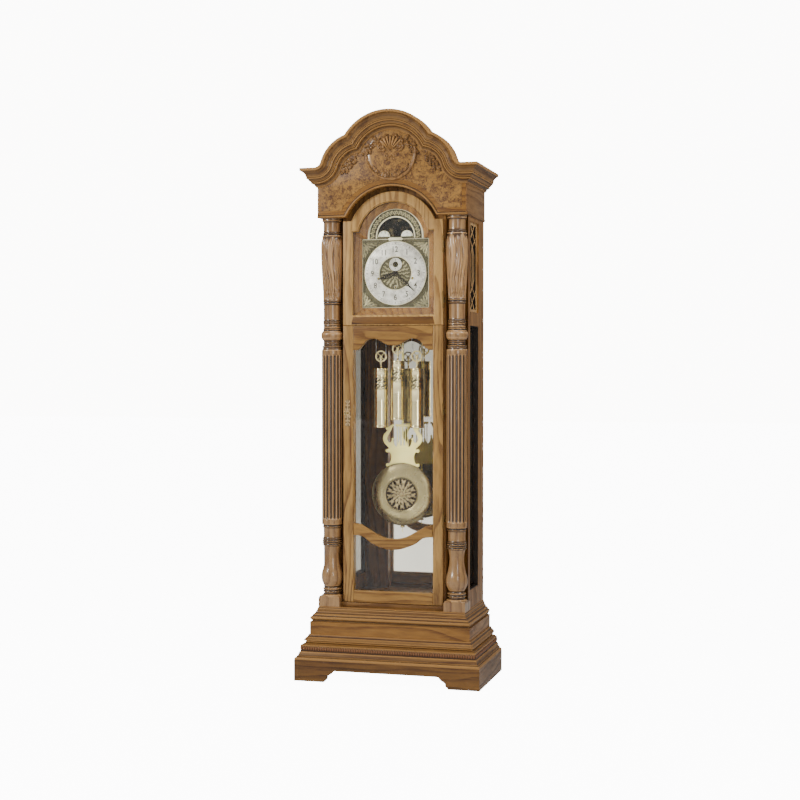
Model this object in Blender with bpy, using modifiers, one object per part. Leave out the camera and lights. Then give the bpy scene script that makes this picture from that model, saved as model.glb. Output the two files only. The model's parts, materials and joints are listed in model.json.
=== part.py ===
"""Floor clock with an arched bonnet, two glazed doors, a moon dial, a lyre pendulum and three cable-hung weights.

Metres, +Z up. The front looks along -Y, and the origin is on the floor under the middle of the plinth.
Every wooden piece, pane and wheel is an object of its own, and what turns or slides hangs on an empty on its axis.
"""

from math import acos, asin, atan2, cos, degrees, hypot, pi, radians, sin, sqrt

import bmesh
import bpy
from mathutils import Matrix, Vector

# Clearances
seat_gap = 0.0003
overrun = 0.002
weld_distance = 0.000001

# Plinth and base box
plinth_width = 0.797
plinth_depth = 0.450
plinth_height = 0.088
plinth_wall = 0.020
foot_width = 0.130
foot_step_width = 0.044
foot_cut_height = 0.0485
foot_step_shares = ((0.0, 0.0), (0.28, 0.25), (0.34, 0.52), (0.70, 0.70), (1.0, 1.0))
ledger_width = 0.050
ledger_height = 0.018
box_floor_height = 0.070
box_floor_thickness = 0.015
box_overhang = 0.053
box_wall = 0.018
box_top_height = 0.2427
lower_moulding_height = 0.102
lower_moulding_shares = (
    (0.0, 0.0), (0.09, 0.03), (0.20, 0.09), (0.24, 0.15), (0.39, 0.33), (0.62, 0.51), (0.79, 0.64),
    (0.79, 0.66), (0.61, 0.74), (0.61, 0.80), (0.80, 0.90), (0.91, 1.0),
)
waist_moulding_height = 0.060
waist_moulding_shares = (
    (0.22, 0.0), (0.22, 0.10), (0.05, 0.25), (0.05, 0.33), (0.20, 0.42), (0.50, 0.57), (0.74, 0.78), (0.93, 0.92),
    (0.93, 1.0),
)
case_setback = 0.0295
deck_thickness = 0.020
sill_height = 0.0185
sill_depth = 0.024

# Case
case_width = 0.632
case_wall = 0.020
hood_height = 0.5772
post_inner_width = 0.364
post_thickness = 0.0477
back_thickness = 0.0117
side_opening_front_inset = 0.001
side_opening_depth = 0.160
side_glass_foot_height = 0.078
side_glass_head_gap = 0.0005
fret_rise = 0.0558
fret_height = 0.378
glass_thickness = 0.003
glass_margin = 0.010
fret_thickness = 0.008
fret_recess = 0.008
fret_frame_width = 0.012
fret_strip_width = 0.0065
fret_step = 0.0004
fret_long_shares = ((-0.42, 0.0), (-0.42, 0.30), (-0.10, 0.46), (0.62, 0.64), (0.05, 0.82), (-0.60, 1.04))
fret_middle_shares = ((0.0, -0.49), (0.0, 0.49))
fret_tie_shares = (((0.62, 0.64), (1.08, 0.54)), ((0.62, 0.64), (1.08, 0.74)))
mirror_thickness = 0.004
mirror_margin = 0.006
mirror_foot_height = 0.018
mirror_height = 1.160

# Columns
column_spacing = 0.545
column_axis_y = -0.092
shaft_radius = 0.0435
column_notch_radius = 0.0475
column_block_width = 0.0925
column_block_height = 0.0457
column_block_lap = 0.0047
column_steps = 12
column_profile_shares = (
    (1, 0.977), (0.9918, 0.977), (0.9877, 0.736), (0.961, 0.736), (0.959, 0.98), (0.9528, 0.96),
    (0.9231, 1.07), (0.8923, 1.05), (0.8595, 0.99), (0.8205, 0.9), (0.7836, 0.845), (0.7815, 0.98),
    (0.7754, 0.98), (0.7728, 0.782), (0.7303, 0.782), (0.7272, 0.96), (0.7221, 0.823), (0.7077, 0.823),
    (0.7046, 0.97), (0.6923, 1.045), (0.681, 0.97), (0.6779, 0.812), (0.6641, 0.812), (0.6615, 1.07),
    (0.6533, 1.07), (0.6509, 0.8), (0.1922, 0.8), (0.1897, 1.045), (0.1851, 1.045), (0.1831, 0.846),
    (0.1538, 0.846), (0.1508, 1.045), (0.1446, 0.99), (0.1385, 1.045), (0.1349, 0.85), (0.1123, 0.7),
    (0.0974, 0.74), (0.056, 1.045), (0.0267, 0.722), (0.0164, 0.985), (0.0092, 0.985), (0, 0.92),
)
flute_count = 10
flute_depth = 0.0045
flute_shares = ((0.0, 0.0), (0.24, 0.0), (0.45, 1.0), (0.79, 1.0))
flute_foot_share = 0.1913
flute_head_share = 0.6518
flute_end_margin = 0.026
flute_end_length = 0.008

# Doors
door_width = 0.434
door_thickness = 0.022
door_face_y = -0.110
door_rebate_depth = 0.0065
door_rebate_margin = 0.008
door_split = 0.002
waist_door_foot_height = 0.0203
waist_door_height = 1.1672
sight_width = 0.347
waist_sight_foot_height = 0.049
top_rail_height = 0.101
scallop_rise = 0.0475
scallop_shares = (
    (1.0, 0.0), (0.888, 0.0), (0.758, 0.39), (0.663, 0.78), (0.5, 1.0), (0.34, 0.83), (0.20, 0.54), (0.0, 0.37),
)
swag_top_height = 0.334
swag_top_drop = 0.063
swag_top_shares = ((1.0, 0.0), (0.85, 0.06), (0.697, 0.27), (0.403, 0.73), (0.0, 1.0))
swag_foot_height = 0.284
swag_foot_drop = 0.0575
swag_foot_shares = ((1.0, 0.0), (0.86, 0.03), (0.726, 0.14), (0.536, 0.56), (0.277, 0.87), (0.0, 1.0))
edge_steps = 2

# Arches over the dial, all about one centre. Each rise is from the foot of the hood door.
arch_centre_rise = 0.3615
hood_door_arch_radius = 0.1975
hood_door_shoulder_height = 0.4385
hood_sight_arch_radius = 0.1524
hood_sight_foot_height = 0.0445
hood_sight_shoulder_height = 0.392
hood_sight_width = 0.3488
arch_steps = 10

# Hinges
hinge_barrel_radius = 0.003
hinge_pin_radius = 0.0015
hinge_bore_radius = 0.0018
hinge_axis_forward = 0.003
hinge_axis_outward = 0.0015
hinge_length = 0.066
hinge_leaf_thickness = 0.0012
hinge_leaf_width = 0.012
hinge_leaf_back = 0.0035
hinge_leaf_inlet = 0.0002
hinge_tab_reach = 0.001
hinge_foot_width = 0.0055
hinge_finial_radius = 0.0032
hinge_sides = 6
waist_hinge_spacing = 0.450
hood_hinge_spacing = 0.230

# Lock on the waist door
lock_height_share = 0.685
lock_inset = 0.020
escutcheon_height = 0.119
escutcheon_half_width = 0.0165
escutcheon_thickness = 0.0015
escutcheon_shares = (
    (0.0, -1.0), (0.45, -0.86), (0.62, -0.62), (0.45, -0.42), (0.95, -0.18), (0.80, 0.0), (0.95, 0.18),
    (0.45, 0.42), (0.62, 0.62), (0.45, 0.86), (0.0, 1.0),
)
keyhole_radius = 0.004
key_radius = 0.003
key_reach = 0.022
key_bow_radius = 0.009
key_bow_wire = 0.0018

# Pediment and bonnet moulding
frieze_width = 0.641
frieze_thickness = 0.022
frieze_face_y = -0.140
frieze_rise = 0.4525
frieze_arch_radius = 0.216
arch_bead_width = 0.0135
arch_bead_thickness = 0.006
arch_bead_setback = 0.0005
foot_bead_height = 0.012
corner_block_inset = 0.101
corner_block_lap = 0.002
cornice_top_rise = 0.6575
cornice_projection = 0.060
cornice_drop = 0.078
cornice_side_thickness = 0.0042
mitre_gap = 0.0005
cornice_shares = (
    (1.0, 0.0), (1.0, 0.15), (0.77, 0.24), (0.65, 0.32), (0.57, 0.48), (0.45, 0.66), (0.33, 0.73), (0.13, 0.93),
    (0.05, 1.0),
)
bonnet_height = 0.230
bonnet_radius = 0.220
shoulder_radius = 0.166
shoulder_centre_x = 0.129
shoulder_centre_drop = 0.026
flare_radius = 0.030
pediment_top_drop = 0.020
flare_steps = 3
shoulder_steps = 4
bonnet_steps = 6
roof_thickness = 0.018

# Carvings on the pediment
cartouche_radius = 0.1135
cartouche_width = 0.0125
cartouche_thickness = 0.008
cartouche_centre_rise = 0.712
cartouche_rise = 6
cartouche_bevel = 0.003
shell_rise = 0.7055
shell_length = 0.062
shell_depth = 0.014
shell_rib_count = 7
shell_rib_steps = 3
shell_spread = 150
shell_lobe_share = 0.10
shell_foot_share = 0.16
shell_ring_shares = ((1.0, 0.0, 0.0), (1.0, 0.15, 0.30), (0.80, 0.35, 0.75), (0.45, 0.55, 0.85), (0.20, 0.95, 1.0))

# Dial
dial_centre_rise = 0.2195
dial_width = 0.299
dial_foot_rise = 0.0695
dial_shoulder_rise = 0.3685
dial_arch_radius = 0.1265
dial_arch_centre_rise = 0.3655
dial_face_y = -0.064
dial_thickness = 0.002
dial_window_width = 0.291
dial_window_foot_rise = 0.074
dial_window_shoulder_rise = 0.3655
dial_window_arch_radius = 0.1225
mask_opening_margin = 0.0016
chapter_ring_radius = 0.135
chapter_ring_inner_radius = 0.069
chapter_ring_thickness = 0.0037
ring_sides = 32
centre_hole_radius = 0.006
winding_hole_radius = 0.005
seconds_hole_radius = 0.003
dial_foot_radius = 0.003
moon_window_radius = 0.080
moon_window_rise = 0.3735
moon_hump_radius = 0.026
moon_hump_spacing = 0.100
moon_disc_radius = 0.0905
moon_disc_thickness = 0.001
moon_disc_gap = 0.0007
moon_stud_radius = 0.002
moon_collar_radius = 0.004
moon_collar_thickness = 0.001

# Hands, shown at 8:22
minutes_past = 22
hours_past = 8
hand_thickness = 0.001
hour_hand_y = -0.0725
minute_hand_y = -0.0775
second_hand_y = -0.067
hour_hand_length = 0.078
minute_hand_length = 0.118
second_hand_length = 0.024
hour_hand_shares = (
    (0.0, 0.06), (0.14, 0.05), (0.25, 0.095), (0.34, 0.045), (0.46, 0.115), (0.58, 0.05), (0.70, 0.135),
    (0.80, 0.10), (0.88, 0.03), (1.0, 0.008),
)
minute_hand_shares = (
    (0.0, 0.04), (0.12, 0.03), (0.20, 0.055), (0.28, 0.03), (0.40, 0.065), (0.50, 0.03), (0.62, 0.045),
    (0.72, 0.02), (1.0, 0.006),
)
second_hand_shares = ((-0.35, 0.06), (0.0, 0.04), (1.0, 0.015))
minute_arbor_radius = 0.0025
hour_pipe_radius = 0.0045
minute_boss_radius = 0.0065
hour_boss_radius = 0.0085
seconds_arbor_radius = 0.0015
seconds_boss_radius = 0.0035
arbor_sides = 8

# Movement
seat_board_rise = 0.0083
seat_board_thickness = 0.022
seat_rail_drop = 0.027
seat_rail_thickness = 0.0217
seat_board_back_y = 0.030
cable_slot_margin = 0.004
cable_slot_width = 0.012
plate_width = 0.216
plate_foot_rise = 0.1075
plate_head_rise = 0.3075
plate_leg_width = 0.023
plate_thickness = 0.003
front_plate_y = -0.035
back_plate_y = 0.013
pillar_radius = 0.004
pillar_sides = 6
pillar_inset = 0.020
pillar_foot_margin = 0.015
seconds_offset = 0.037
anchor_distance = 0.026
pivot_hole_gap = 0.0003
cock_arm_width = 0.004
cock_half_width = 0.020
cock_height = 0.012
cock_back_y = 0.0555
cock_bar_thickness = 0.003
suspension_pin_radius = 0.0015
suspension_pin_length = 0.0085
side_drum_drop = 0.022
centre_drum_drop = 0.057
drum_radius = 0.0155
drum_flange_radius = 0.022
great_wheel_radius = 0.030
drum_arbor_radius = 0.003
drum_steps = 8
drum_length = 0.026
drum_flange_thickness = 0.0015
great_wheel_thickness = 0.003
drum_front_y = -0.025
winding_square_y = -0.0655
escape_radius = 0.0165
escape_root_radius = 0.0138
escape_tooth_count = 30
escape_thickness = 0.0015
escape_y = -0.010
anchor_thickness = 0.0025
anchor_y = -0.0105
anchor_shares = (
    (0.15, 0.17), (0.62, -0.14), (0.79, -0.54), (0.673, -0.75), (0.577, -0.54), (0.48, -0.35), (0.15, -0.19),
)
anchor_arbor_radius = 0.0015
anchor_arbor_front_y = -0.0315
anchor_arbor_back_y = 0.0315
crutch_y = 0.029
crutch_length = 0.1145
crutch_radius = 0.0012
crutch_fork_height = 0.006
crutch_fork_thickness = 0.003
crutch_prong_width = 0.002

# Chime rods
chime_rod_count = 9
chime_rod_spacing = 0.017
chime_rod_radius = 0.0025
chime_rod_long = 0.360
chime_rod_short = 0.240
chime_block_height = 0.030
chime_block_depth = 0.028
chime_block_rise = 0.3675
chime_block_margin = 0.014
chime_rod_sides = 6

# Pendulum
pendulum_y = 0.0475
rod_width = 0.008
rod_thickness = 0.002
eye_margin = 0.001
lyre_thickness = 0.003
lyre_half_width = 0.088
lyre_height = 0.200
lyre_foot_height = 0.880
lyre_shares = (
    (0.00, 0.00), (0.45, 0.02), (0.75, 0.08), (0.66, 0.185), (0.57, 0.275), (0.64, 0.36), (0.76, 0.41),
    (0.91, 0.49), (1.00, 0.615), (0.91, 0.73), (0.72, 0.825), (0.60, 0.91), (0.48, 0.91), (0.52, 0.81),
    (0.69, 0.72), (0.775, 0.615), (0.68, 0.55), (0.50, 0.56), (0.39, 0.50), (0.22, 0.475), (0.00, 0.46),
)
lyre_rod_radius = 0.002
lyre_rod_spacing = 0.012
lyre_bar_width = 0.062
lyre_bar_height = 0.010
lyre_bar_thickness = 0.005
lyre_bar_foot_height = 1.062
bob_centre_height = 0.772
bob_radius = 0.135
bob_depth = 0.0215
bob_steps = 20
bob_shares = (
    (0.90, 0.0), (1.0, 0.17), (1.0, 0.27), (0.93, 0.52), (0.79, 0.76), (0.60, 0.90), (0.58, 1.0), (0.53, 0.95),
    (0.52, 0.80), (0.25, 0.94),
)
nut_radius = 0.009
nut_height = 0.008
thread_radius = 0.0015
thread_tail = 0.028

# Weights, pulleys and cables
weight_y = -0.012
side_weight_spacing = 0.158
weight_radius = 0.0315
weight_height = 0.252
side_weight_drop = 0.4335
centre_weight_lift = 0.0325
weight_steps = 10
weight_shares = (
    (0.94, 1.0), (1.0, 0.985), (1.0, 0.96), (0.955, 0.95), (0.955, 0.86), (0.985, 0.85), (0.985, 0.655),
    (0.955, 0.64), (0.955, 0.05), (1.0, 0.04), (1.0, 0.0),
)
hook_radius = 0.002
hook_ball_radius = 0.004
hook_length = 0.018
hook_sides = 6
stirrup_thickness = 0.0012
stirrup_half_width = 0.003
stirrup_inner_half_depth = 0.005
stirrup_head = 0.006
pulley_height = 0.052
pulley_radius = 0.0245
pulley_groove_radius = 0.0202
pulley_half_width = 0.004
pulley_groove_shares = ((1.0, 1.0), (1.0, 0.75), (0.0, 0.30), (0.0, -0.30), (1.0, -0.75), (1.0, -1.0))
pulley_pin_radius = 0.002
pulley_steps = 10
pulley_hole_count = 4
pulley_hole_sides = 6
pulley_hole_radius = 0.0042
pulley_hole_circle = 0.0122
cable_radius = 0.0009
cable_wrap_radius = 0.0217
cable_turn_steps = 8
cable_post_radius = 0.0025
cable_post_reach = 0.026

# Places that several pieces share
front_y = -plinth_depth / 2
back_y = plinth_depth / 2
plinth_half = plinth_width / 2
box_half = plinth_half - box_overhang
box_front_y = front_y + box_overhang
case_half = case_width / 2
case_overhang = box_half - case_half
case_foot = box_top_height + seat_gap + waist_moulding_height
case_base = case_foot + seat_gap
column_x = column_spacing / 2
door_half = door_width / 2
door_back_y = door_face_y + door_thickness
post_face_y = door_back_y + seat_gap
post_back_y = post_face_y + post_thickness
post_inner = post_inner_width / 2
side_inner = case_half - case_wall
waist_door_foot = case_foot + waist_door_foot_height
waist_door_top = waist_door_foot + waist_door_height
hood_door_foot = waist_door_top + door_split
case_top = hood_door_foot + hood_height
arch_centre_height = hood_door_foot + arch_centre_rise
frieze_foot_height = hood_door_foot + frieze_rise
cornice_top_height = hood_door_foot + cornice_top_rise
cartouche_centre_height = hood_door_foot + cartouche_centre_rise
shell_foot_height = hood_door_foot + shell_rise
dial_centre_height = hood_door_foot + dial_centre_rise
dial_foot_height = hood_door_foot + dial_foot_rise
dial_shoulder_height = hood_door_foot + dial_shoulder_rise
dial_arch_centre_height = hood_door_foot + dial_arch_centre_rise
dial_window_foot_height = hood_door_foot + dial_window_foot_rise
dial_window_shoulder_height = hood_door_foot + dial_window_shoulder_rise
moon_window_height = hood_door_foot + moon_window_rise
moon_centre_height = dial_arch_centre_height
seat_board_foot_height = hood_door_foot + seat_board_rise
plate_foot_height = hood_door_foot + plate_foot_rise
plate_head_height = hood_door_foot + plate_head_rise
chime_block_foot_height = hood_door_foot + chime_block_rise
side_weight_foot_height = hood_door_foot - side_weight_drop
column_foot = case_base + column_block_height - column_block_lap
column_height = frieze_foot_height - seat_gap - column_foot
side_glass_foot = case_base + side_glass_foot_height
side_glass_height = seat_board_foot_height - side_glass_head_gap - glass_margin - side_glass_foot
fret_foot = hood_door_foot + fret_rise
hinge_x = door_half + hinge_axis_outward
hinge_y = door_face_y - hinge_axis_forward
frieze_half = frieze_width / 2
frieze_back_y = frieze_face_y + frieze_thickness
bonnet_apex = cornice_top_height + bonnet_height
seat_board_top = seat_board_foot_height + seat_board_thickness
dial_back_y = dial_face_y + dial_thickness
bob_back_y = pendulum_y - lyre_thickness / 2 - seat_gap
seconds_height = dial_centre_height + seconds_offset
anchor_height = seconds_height + anchor_distance
side_drum_height = dial_centre_height - side_drum_drop
centre_drum_height = dial_centre_height - centre_drum_drop
cable_offset = drum_radius + cable_radius + seat_gap
side_weight_x = side_weight_spacing / 2
lock_x = lock_inset - door_half
lock_height = waist_door_foot + waist_door_height * lock_height_share


def clear_scene():
    for obj in list(bpy.data.objects):
        bpy.data.objects.remove(obj, do_unlink=True)


def linked(name, data):
    obj = bpy.data.objects.new(name, data)
    bpy.context.scene.collection.objects.link(obj)
    return obj


def as_mesh(obj, weld=True):
    """The object as its modifiers leave it: a plain mesh that faces out, with its points in world space."""
    graph = bpy.context.evaluated_depsgraph_get()
    done = obj.evaluated_get(graph)
    mesh = bpy.data.meshes.new_from_object(done, depsgraph=graph)
    mesh.transform(done.matrix_world)
    shape = bmesh.new()
    shape.from_mesh(mesh)
    if weld:
        bmesh.ops.remove_doubles(shape, verts=shape.verts, dist=weld_distance)
    bmesh.ops.recalc_face_normals(shape, faces=shape.faces)
    shape.to_mesh(mesh)
    shape.free()
    name = obj.name
    bpy.data.objects.remove(obj, do_unlink=True)
    return linked(name, mesh)


def combined(base, operation, others):
    """The base joined with, or cut by, the other shapes, which are used up."""
    for other in others:
        boolean = base.modifiers.new(operation.title(), "BOOLEAN")
        boolean.operation = operation
        boolean.object = other
    result = as_mesh(base, weld=False)
    for other in others:
        bpy.data.objects.remove(other, do_unlink=True)
    return result


def cut(base, *others):
    return combined(base, "DIFFERENCE", others)


def join(base, *others):
    return combined(base, "UNION", others)


def from_bmesh(name, shape, matrix):
    mesh = bpy.data.meshes.new(name)
    shape.transform(matrix)
    shape.to_mesh(mesh)
    shape.free()
    return linked(name, mesh)


def block(name, low, high):
    low, high = Vector(low), Vector(high)
    shape = bmesh.new()
    bmesh.ops.create_cube(shape, size=1)
    size = high - low
    return from_bmesh(name, shape, Matrix.Translation((low + high) / 2) @ Matrix.Diagonal((*size, 1)))


def cylinder(name, start, end, radius, sides, end_radius=None):
    """A cylinder, or a cone where the far end has a radius of its own."""
    start, end = Vector(start), Vector(end)
    shape = bmesh.new()
    bmesh.ops.create_cone(
        shape, cap_ends=True, segments=sides, radius1=radius,
        radius2=radius if end_radius is None else end_radius, depth=(end - start).length,
    )
    turn = (end - start).to_track_quat("Z", "Y").to_matrix().to_4x4()
    return from_bmesh(name, shape, Matrix.Translation((start + end) / 2) @ turn)


def ball(name, centre, radius, sides):
    shape = bmesh.new()
    bmesh.ops.create_uvsphere(shape, u_segments=sides, v_segments=sides // 2 + 1, radius=radius)
    return from_bmesh(name, shape, Matrix.Translation(centre))


def turned(name, profile, steps, centre=(0, 0, 0), axis="Z", ring=False):
    """(radius, height) points turned about an axis through centre. A ring's profile closes on itself."""
    edges = [(i, i + 1) for i in range(len(profile) - 1)]
    if ring:
        edges.append((len(profile) - 1, 0))
    mesh = bpy.data.meshes.new(name)
    mesh.from_pydata([(radius, 0, height) for radius, height in profile], edges, [])
    obj = linked(name, mesh)
    screw = obj.modifiers.new("Turn", "SCREW")
    screw.steps = screw.render_steps = steps
    screw.use_merge_vertices = True
    screw.merge_threshold = weld_distance
    obj.location = centre
    obj.rotation_euler = (-pi / 2, 0, 0) if axis == "Y" else (0, 0, 0)
    return as_mesh(obj)


def flat(name, outlines, low, high, facing="Y"):
    """A board or plate with its two faces at low and high. The first outline is its edge and the rest are holes."""
    def placed(across, up, at):
        return {"X": (at, across, up), "Y": (across, at, up), "Z": (across, up, at)}[facing]

    if len(outlines) == 1:
        return loft(name, [[placed(across, up, at) for across, up in outlines[0]] for at in (low, high)])
    data = bpy.data.curves.new(name, "CURVE")
    data.dimensions = "2D"
    data.fill_mode = "BOTH"
    data.extrude = (high - low) / 2
    for outline in outlines:
        spline = data.splines.new("POLY")
        spline.points.add(len(outline) - 1)
        for point, (across, up) in zip(spline.points, outline):
            point.co = (across, up, 0, 1)
        spline.use_cyclic_u = True
    obj = linked(name, data)
    turns = {"X": (pi / 2, 0, pi / 2), "Y": (pi / 2, 0, 0), "Z": (0, 0, 0)}
    obj.location, obj.rotation_euler = placed(0, 0, (low + high) / 2), turns[facing]
    return as_mesh(obj)


def loft(name, rings):
    """A closed skin over rings that have the same number of points, with both ends capped."""
    shape = bmesh.new()
    rows = [[shape.verts.new(point) for point in ring] for ring in rings]
    for lower, upper in zip(rows, rows[1:]):
        for i in range(len(lower)):
            j = (i + 1) % len(lower)
            shape.faces.new((lower[i], lower[j], upper[j], upper[i]))
    shape.faces.new(rows[0])
    shape.faces.new(rows[-1])
    return as_mesh(from_bmesh(name, shape, Matrix.Identity(4)))


def mirrored(obj, name):
    """A copy of the object on the other side of the clock's middle plane."""
    mesh = obj.data.copy()
    mesh.transform(Matrix.Scale(-1, 4, (1, 0, 0)))
    mesh.flip_normals()
    return linked(name, mesh)


def arc(centre, radius, start, end, steps):
    """Points on a circle from one angle in degrees to another."""
    angles = [radians(start + (end - start) * i / steps) for i in range(steps + 1)]
    return [(centre[0] + radius * cos(angle), centre[1] + radius * sin(angle)) for angle in angles]


def circle(centre, radius, sides):
    return arc(centre, radius, 0, 360 - 360 / sides, sides - 1)


def box_outline(left, foot, right, top):
    return [(left, foot), (right, foot), (right, top), (left, top)]


def smooth(points, steps):
    """A smooth line through the points, with so many steps between each two."""
    line = []
    for i in range(len(points) - 1):
        before, start = Vector(points[max(i - 1, 0)]), Vector(points[i])
        end, after = Vector(points[i + 1]), Vector(points[min(i + 2, len(points) - 1)])
        for step in range(steps):
            t = step / steps
            line.append(tuple(
                (2 * start + (end - before) * t + (2 * before - 5 * start + 4 * end - after) * t * t
                 + (3 * start - before - 3 * end + after) * t * t * t) / 2
            ))
    return line + [tuple(points[-1])]


def both_halves(half, middle=0):
    """A right-hand line carried on down its mirror image. One that ends on the middle line shares that point."""
    shared = 1 if half[-1][0] == middle else 0
    return half + [(2 * middle - across, up) for across, up in reversed(half[:len(half) - shared])]


def ribbon(points, width):
    """The outline of a strip of even width along a line."""
    left, right = [], []
    for i, point in enumerate(points):
        before, after = Vector(points[max(i - 1, 0)]), Vector(points[min(i + 1, len(points) - 1)])
        along = (after - before).normalized()
        side = Vector((-along.y, along.x)) * width / 2
        left.append(tuple(Vector(point) + side))
        right.append(tuple(Vector(point) - side))
    return left + right[::-1]


def arched_outline(half_width, foot, shoulder, radius, centre_height, steps=arch_steps):
    """A rectangle with a round arch on its shoulders."""
    spring = degrees(asin((shoulder - centre_height) / radius))
    curve = arc((0, centre_height), radius, spring, 180 - spring, steps)
    return [(-half_width, foot), (half_width, foot), (half_width, shoulder), *curve, (-half_width, shoulder)]


def material(name, colour, roughness, metallic=0.0, transmission=0.0):
    made = bpy.data.materials.new(name)
    made.use_nodes = True
    shader = made.node_tree.nodes["Principled BSDF"]
    shader.inputs["Base Color"].default_value = (*colour, 1)
    shader.inputs["Roughness"].default_value = roughness
    shader.inputs["Metallic"].default_value = metallic
    shader.inputs["Transmission Weight"].default_value = transmission
    return made


def pivot(name, location):
    """An empty on a joint's axis, which carries the pieces that move with it."""
    empty = bpy.data.objects.new(name, None)
    empty.location = location
    clock.objects.link(empty)
    return empty


def piece(obj, name, finish, carrier=None):
    """Makes a shape one of the clock's pieces, with its origin on its carrier's axis if it moves."""
    obj.name = obj.data.name = name
    obj.data.materials.clear()
    obj.data.materials.append(finish)
    obj.data.shade_smooth()
    obj.data.set_sharp_from_angle(angle=radians(32))
    bpy.context.scene.collection.objects.unlink(obj)
    clock.objects.link(obj)
    if carrier:
        obj.data.transform(Matrix.Translation(-carrier.location))
        obj.parent = carrier
    return obj


def pair(obj, name, finish):
    """A right-hand piece and its mirror image."""
    piece(mirrored(obj, name), f"{name}_left", finish)
    piece(obj, f"{name}_right", finish)


def stacked(name, levels, half_width, face_y):
    """A moulded board: rectangles flush at the back, each inset from the sides and the face by its first two values."""
    rings = []
    for side_inset, face_inset, z in levels:
        half, front = half_width - side_inset, face_y + face_inset
        rings.append([(-half, front, z), (half, front, z), (half, back_y, z), (-half, back_y, z)])
    return loft(name, rings)


def make_bracket_base():
    """Plinth boards on bracket feet, with a ledger inside for the base box."""
    base = block("base", (-plinth_half, front_y, 0), (plinth_half, back_y, plinth_height))
    inner_x, inner_front, inner_back = plinth_half - plinth_wall, front_y + plinth_wall, back_y - plinth_wall
    ledger_top = box_floor_height - seat_gap
    ledger_foot = ledger_top - ledger_height
    upper = block("upper", (-inner_x, inner_front, ledger_top), (inner_x, back_y + overrun, plinth_height + overrun))
    lower = block("lower", (-inner_x, inner_front, -overrun), (inner_x, inner_back, ledger_foot))
    middle = block(
        "middle", (ledger_width - inner_x, inner_front + ledger_width, 0),
        (inner_x - ledger_width, inner_back - ledger_width, plinth_height),
    )
    inner_foot = plinth_half - foot_width
    half = [(inner_foot, -overrun)]
    half += [(inner_foot - foot_step_width * x, foot_cut_height * z) for x, z in foot_step_shares]
    between = half + [(-x, z) for x, z in reversed(half)]
    feet = flat("feet", [between], front_y - overrun, inner_front + overrun)
    piece(cut(base, upper, lower, middle, feet), "bracket_base", oak)


def make_base_box():
    box = block("box", (-box_half, box_front_y, box_floor_height), (box_half, back_y, box_top_height))
    inside = block(
        "inside", (box_wall - box_half, box_front_y + box_wall, box_floor_height + box_floor_thickness),
        (box_half - box_wall, back_y - box_wall, box_top_height + overrun),
    )
    piece(cut(box, inside), "base_box", oak)


def make_base_moulding():
    foot = plinth_height + seat_gap
    levels = [(box_overhang * x, box_overhang * x, foot + lower_moulding_height * z) for x, z in lower_moulding_shares]
    board = stacked("moulding", levels, plinth_half, front_y)
    half, front = box_half + seat_gap, box_front_y - seat_gap
    inside = block("inside", (-half, front, foot - overrun), (half, back_y + overrun, box_top_height))
    piece(cut(board, inside), "base_moulding", oak)


def make_waist_moulding():
    """The moulded deck on the base box, which carries the case, the columns and the sill under the door."""
    foot = box_top_height + seat_gap
    levels = [
        (case_overhang * x, case_setback * x, foot + waist_moulding_height * z) for x, z in waist_moulding_shares
    ]
    board = stacked("deck", levels, box_half, box_front_y)
    half = box_half - box_wall - case_overhang
    hollow = block(
        "hollow", (-half, box_front_y + box_wall + case_setback, foot - overrun),
        (half, back_y - box_wall - case_setback, case_foot - deck_thickness),
    )
    sill_half = column_x - column_block_width / 2 - seat_gap
    sill = block(
        "sill", (-sill_half, door_back_y - sill_depth, case_foot - overrun),
        (sill_half, door_back_y, case_foot + sill_height),
    )
    piece(join(cut(board, hollow), sill), "waist_moulding", oak)


def column_notch(low_x, high_x):
    """The hollow round the right-hand column, seen from above, between two places across."""
    def turn(x):
        return degrees(acos((x - column_x) / column_notch_radius))

    return arc((column_x, column_axis_y), column_notch_radius, turn(low_x), turn(high_x), arch_steps // 2)


def side_opening(name, foot, height):
    """A block that fills one of the side openings, from inside the case to past its face."""
    front = post_back_y + side_opening_front_inset
    return block(
        name, (side_inner - overrun, front, foot), (case_half + overrun, front + side_opening_depth, foot + height),
    )


def make_side_frames():
    """Each side board with its two openings, and the post inside its front edge that the doors close on."""
    board = flat("side", [[
        *column_notch(side_inner, case_half), (case_half, back_y), (side_inner, back_y),
    ]], case_base, case_top, facing="Z")
    post_outer = side_inner - seat_gap
    reach = sqrt(column_notch_radius**2 - (post_face_y - column_axis_y) ** 2)
    post = flat("post", [[
        (post_inner, post_face_y), *column_notch(column_x - reach, post_outer), (post_outer, post_back_y),
        (post_inner, post_back_y),
    ]], case_base, case_top, facing="Z")
    inner = column_x - column_block_width / 2 - seat_gap
    rear = column_axis_y + column_block_width / 2 + seat_gap

    def corner():
        return block(
            "corner", (inner, post_face_y - overrun, case_foot - overrun),
            (case_half + overrun, rear, case_base + column_block_height + seat_gap),
        )

    glass = side_opening("glass", side_glass_foot, side_glass_height)
    fret = side_opening("fret", fret_foot, fret_height)
    pair(cut(board, corner(), glass, fret), "side_frame", oak)
    pair(cut(post, corner()), "corner_post", oak)


def make_side_glasses():
    front = post_back_y + seat_gap
    foot = side_glass_foot
    rear = front + side_opening_depth + glass_margin
    pane = block(
        "pane", (side_inner - seat_gap - glass_thickness, front, foot - glass_margin),
        (side_inner - seat_gap, rear, foot + side_glass_height + glass_margin),
    )
    pair(pane, "side_glass", glass_clear)


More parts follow.
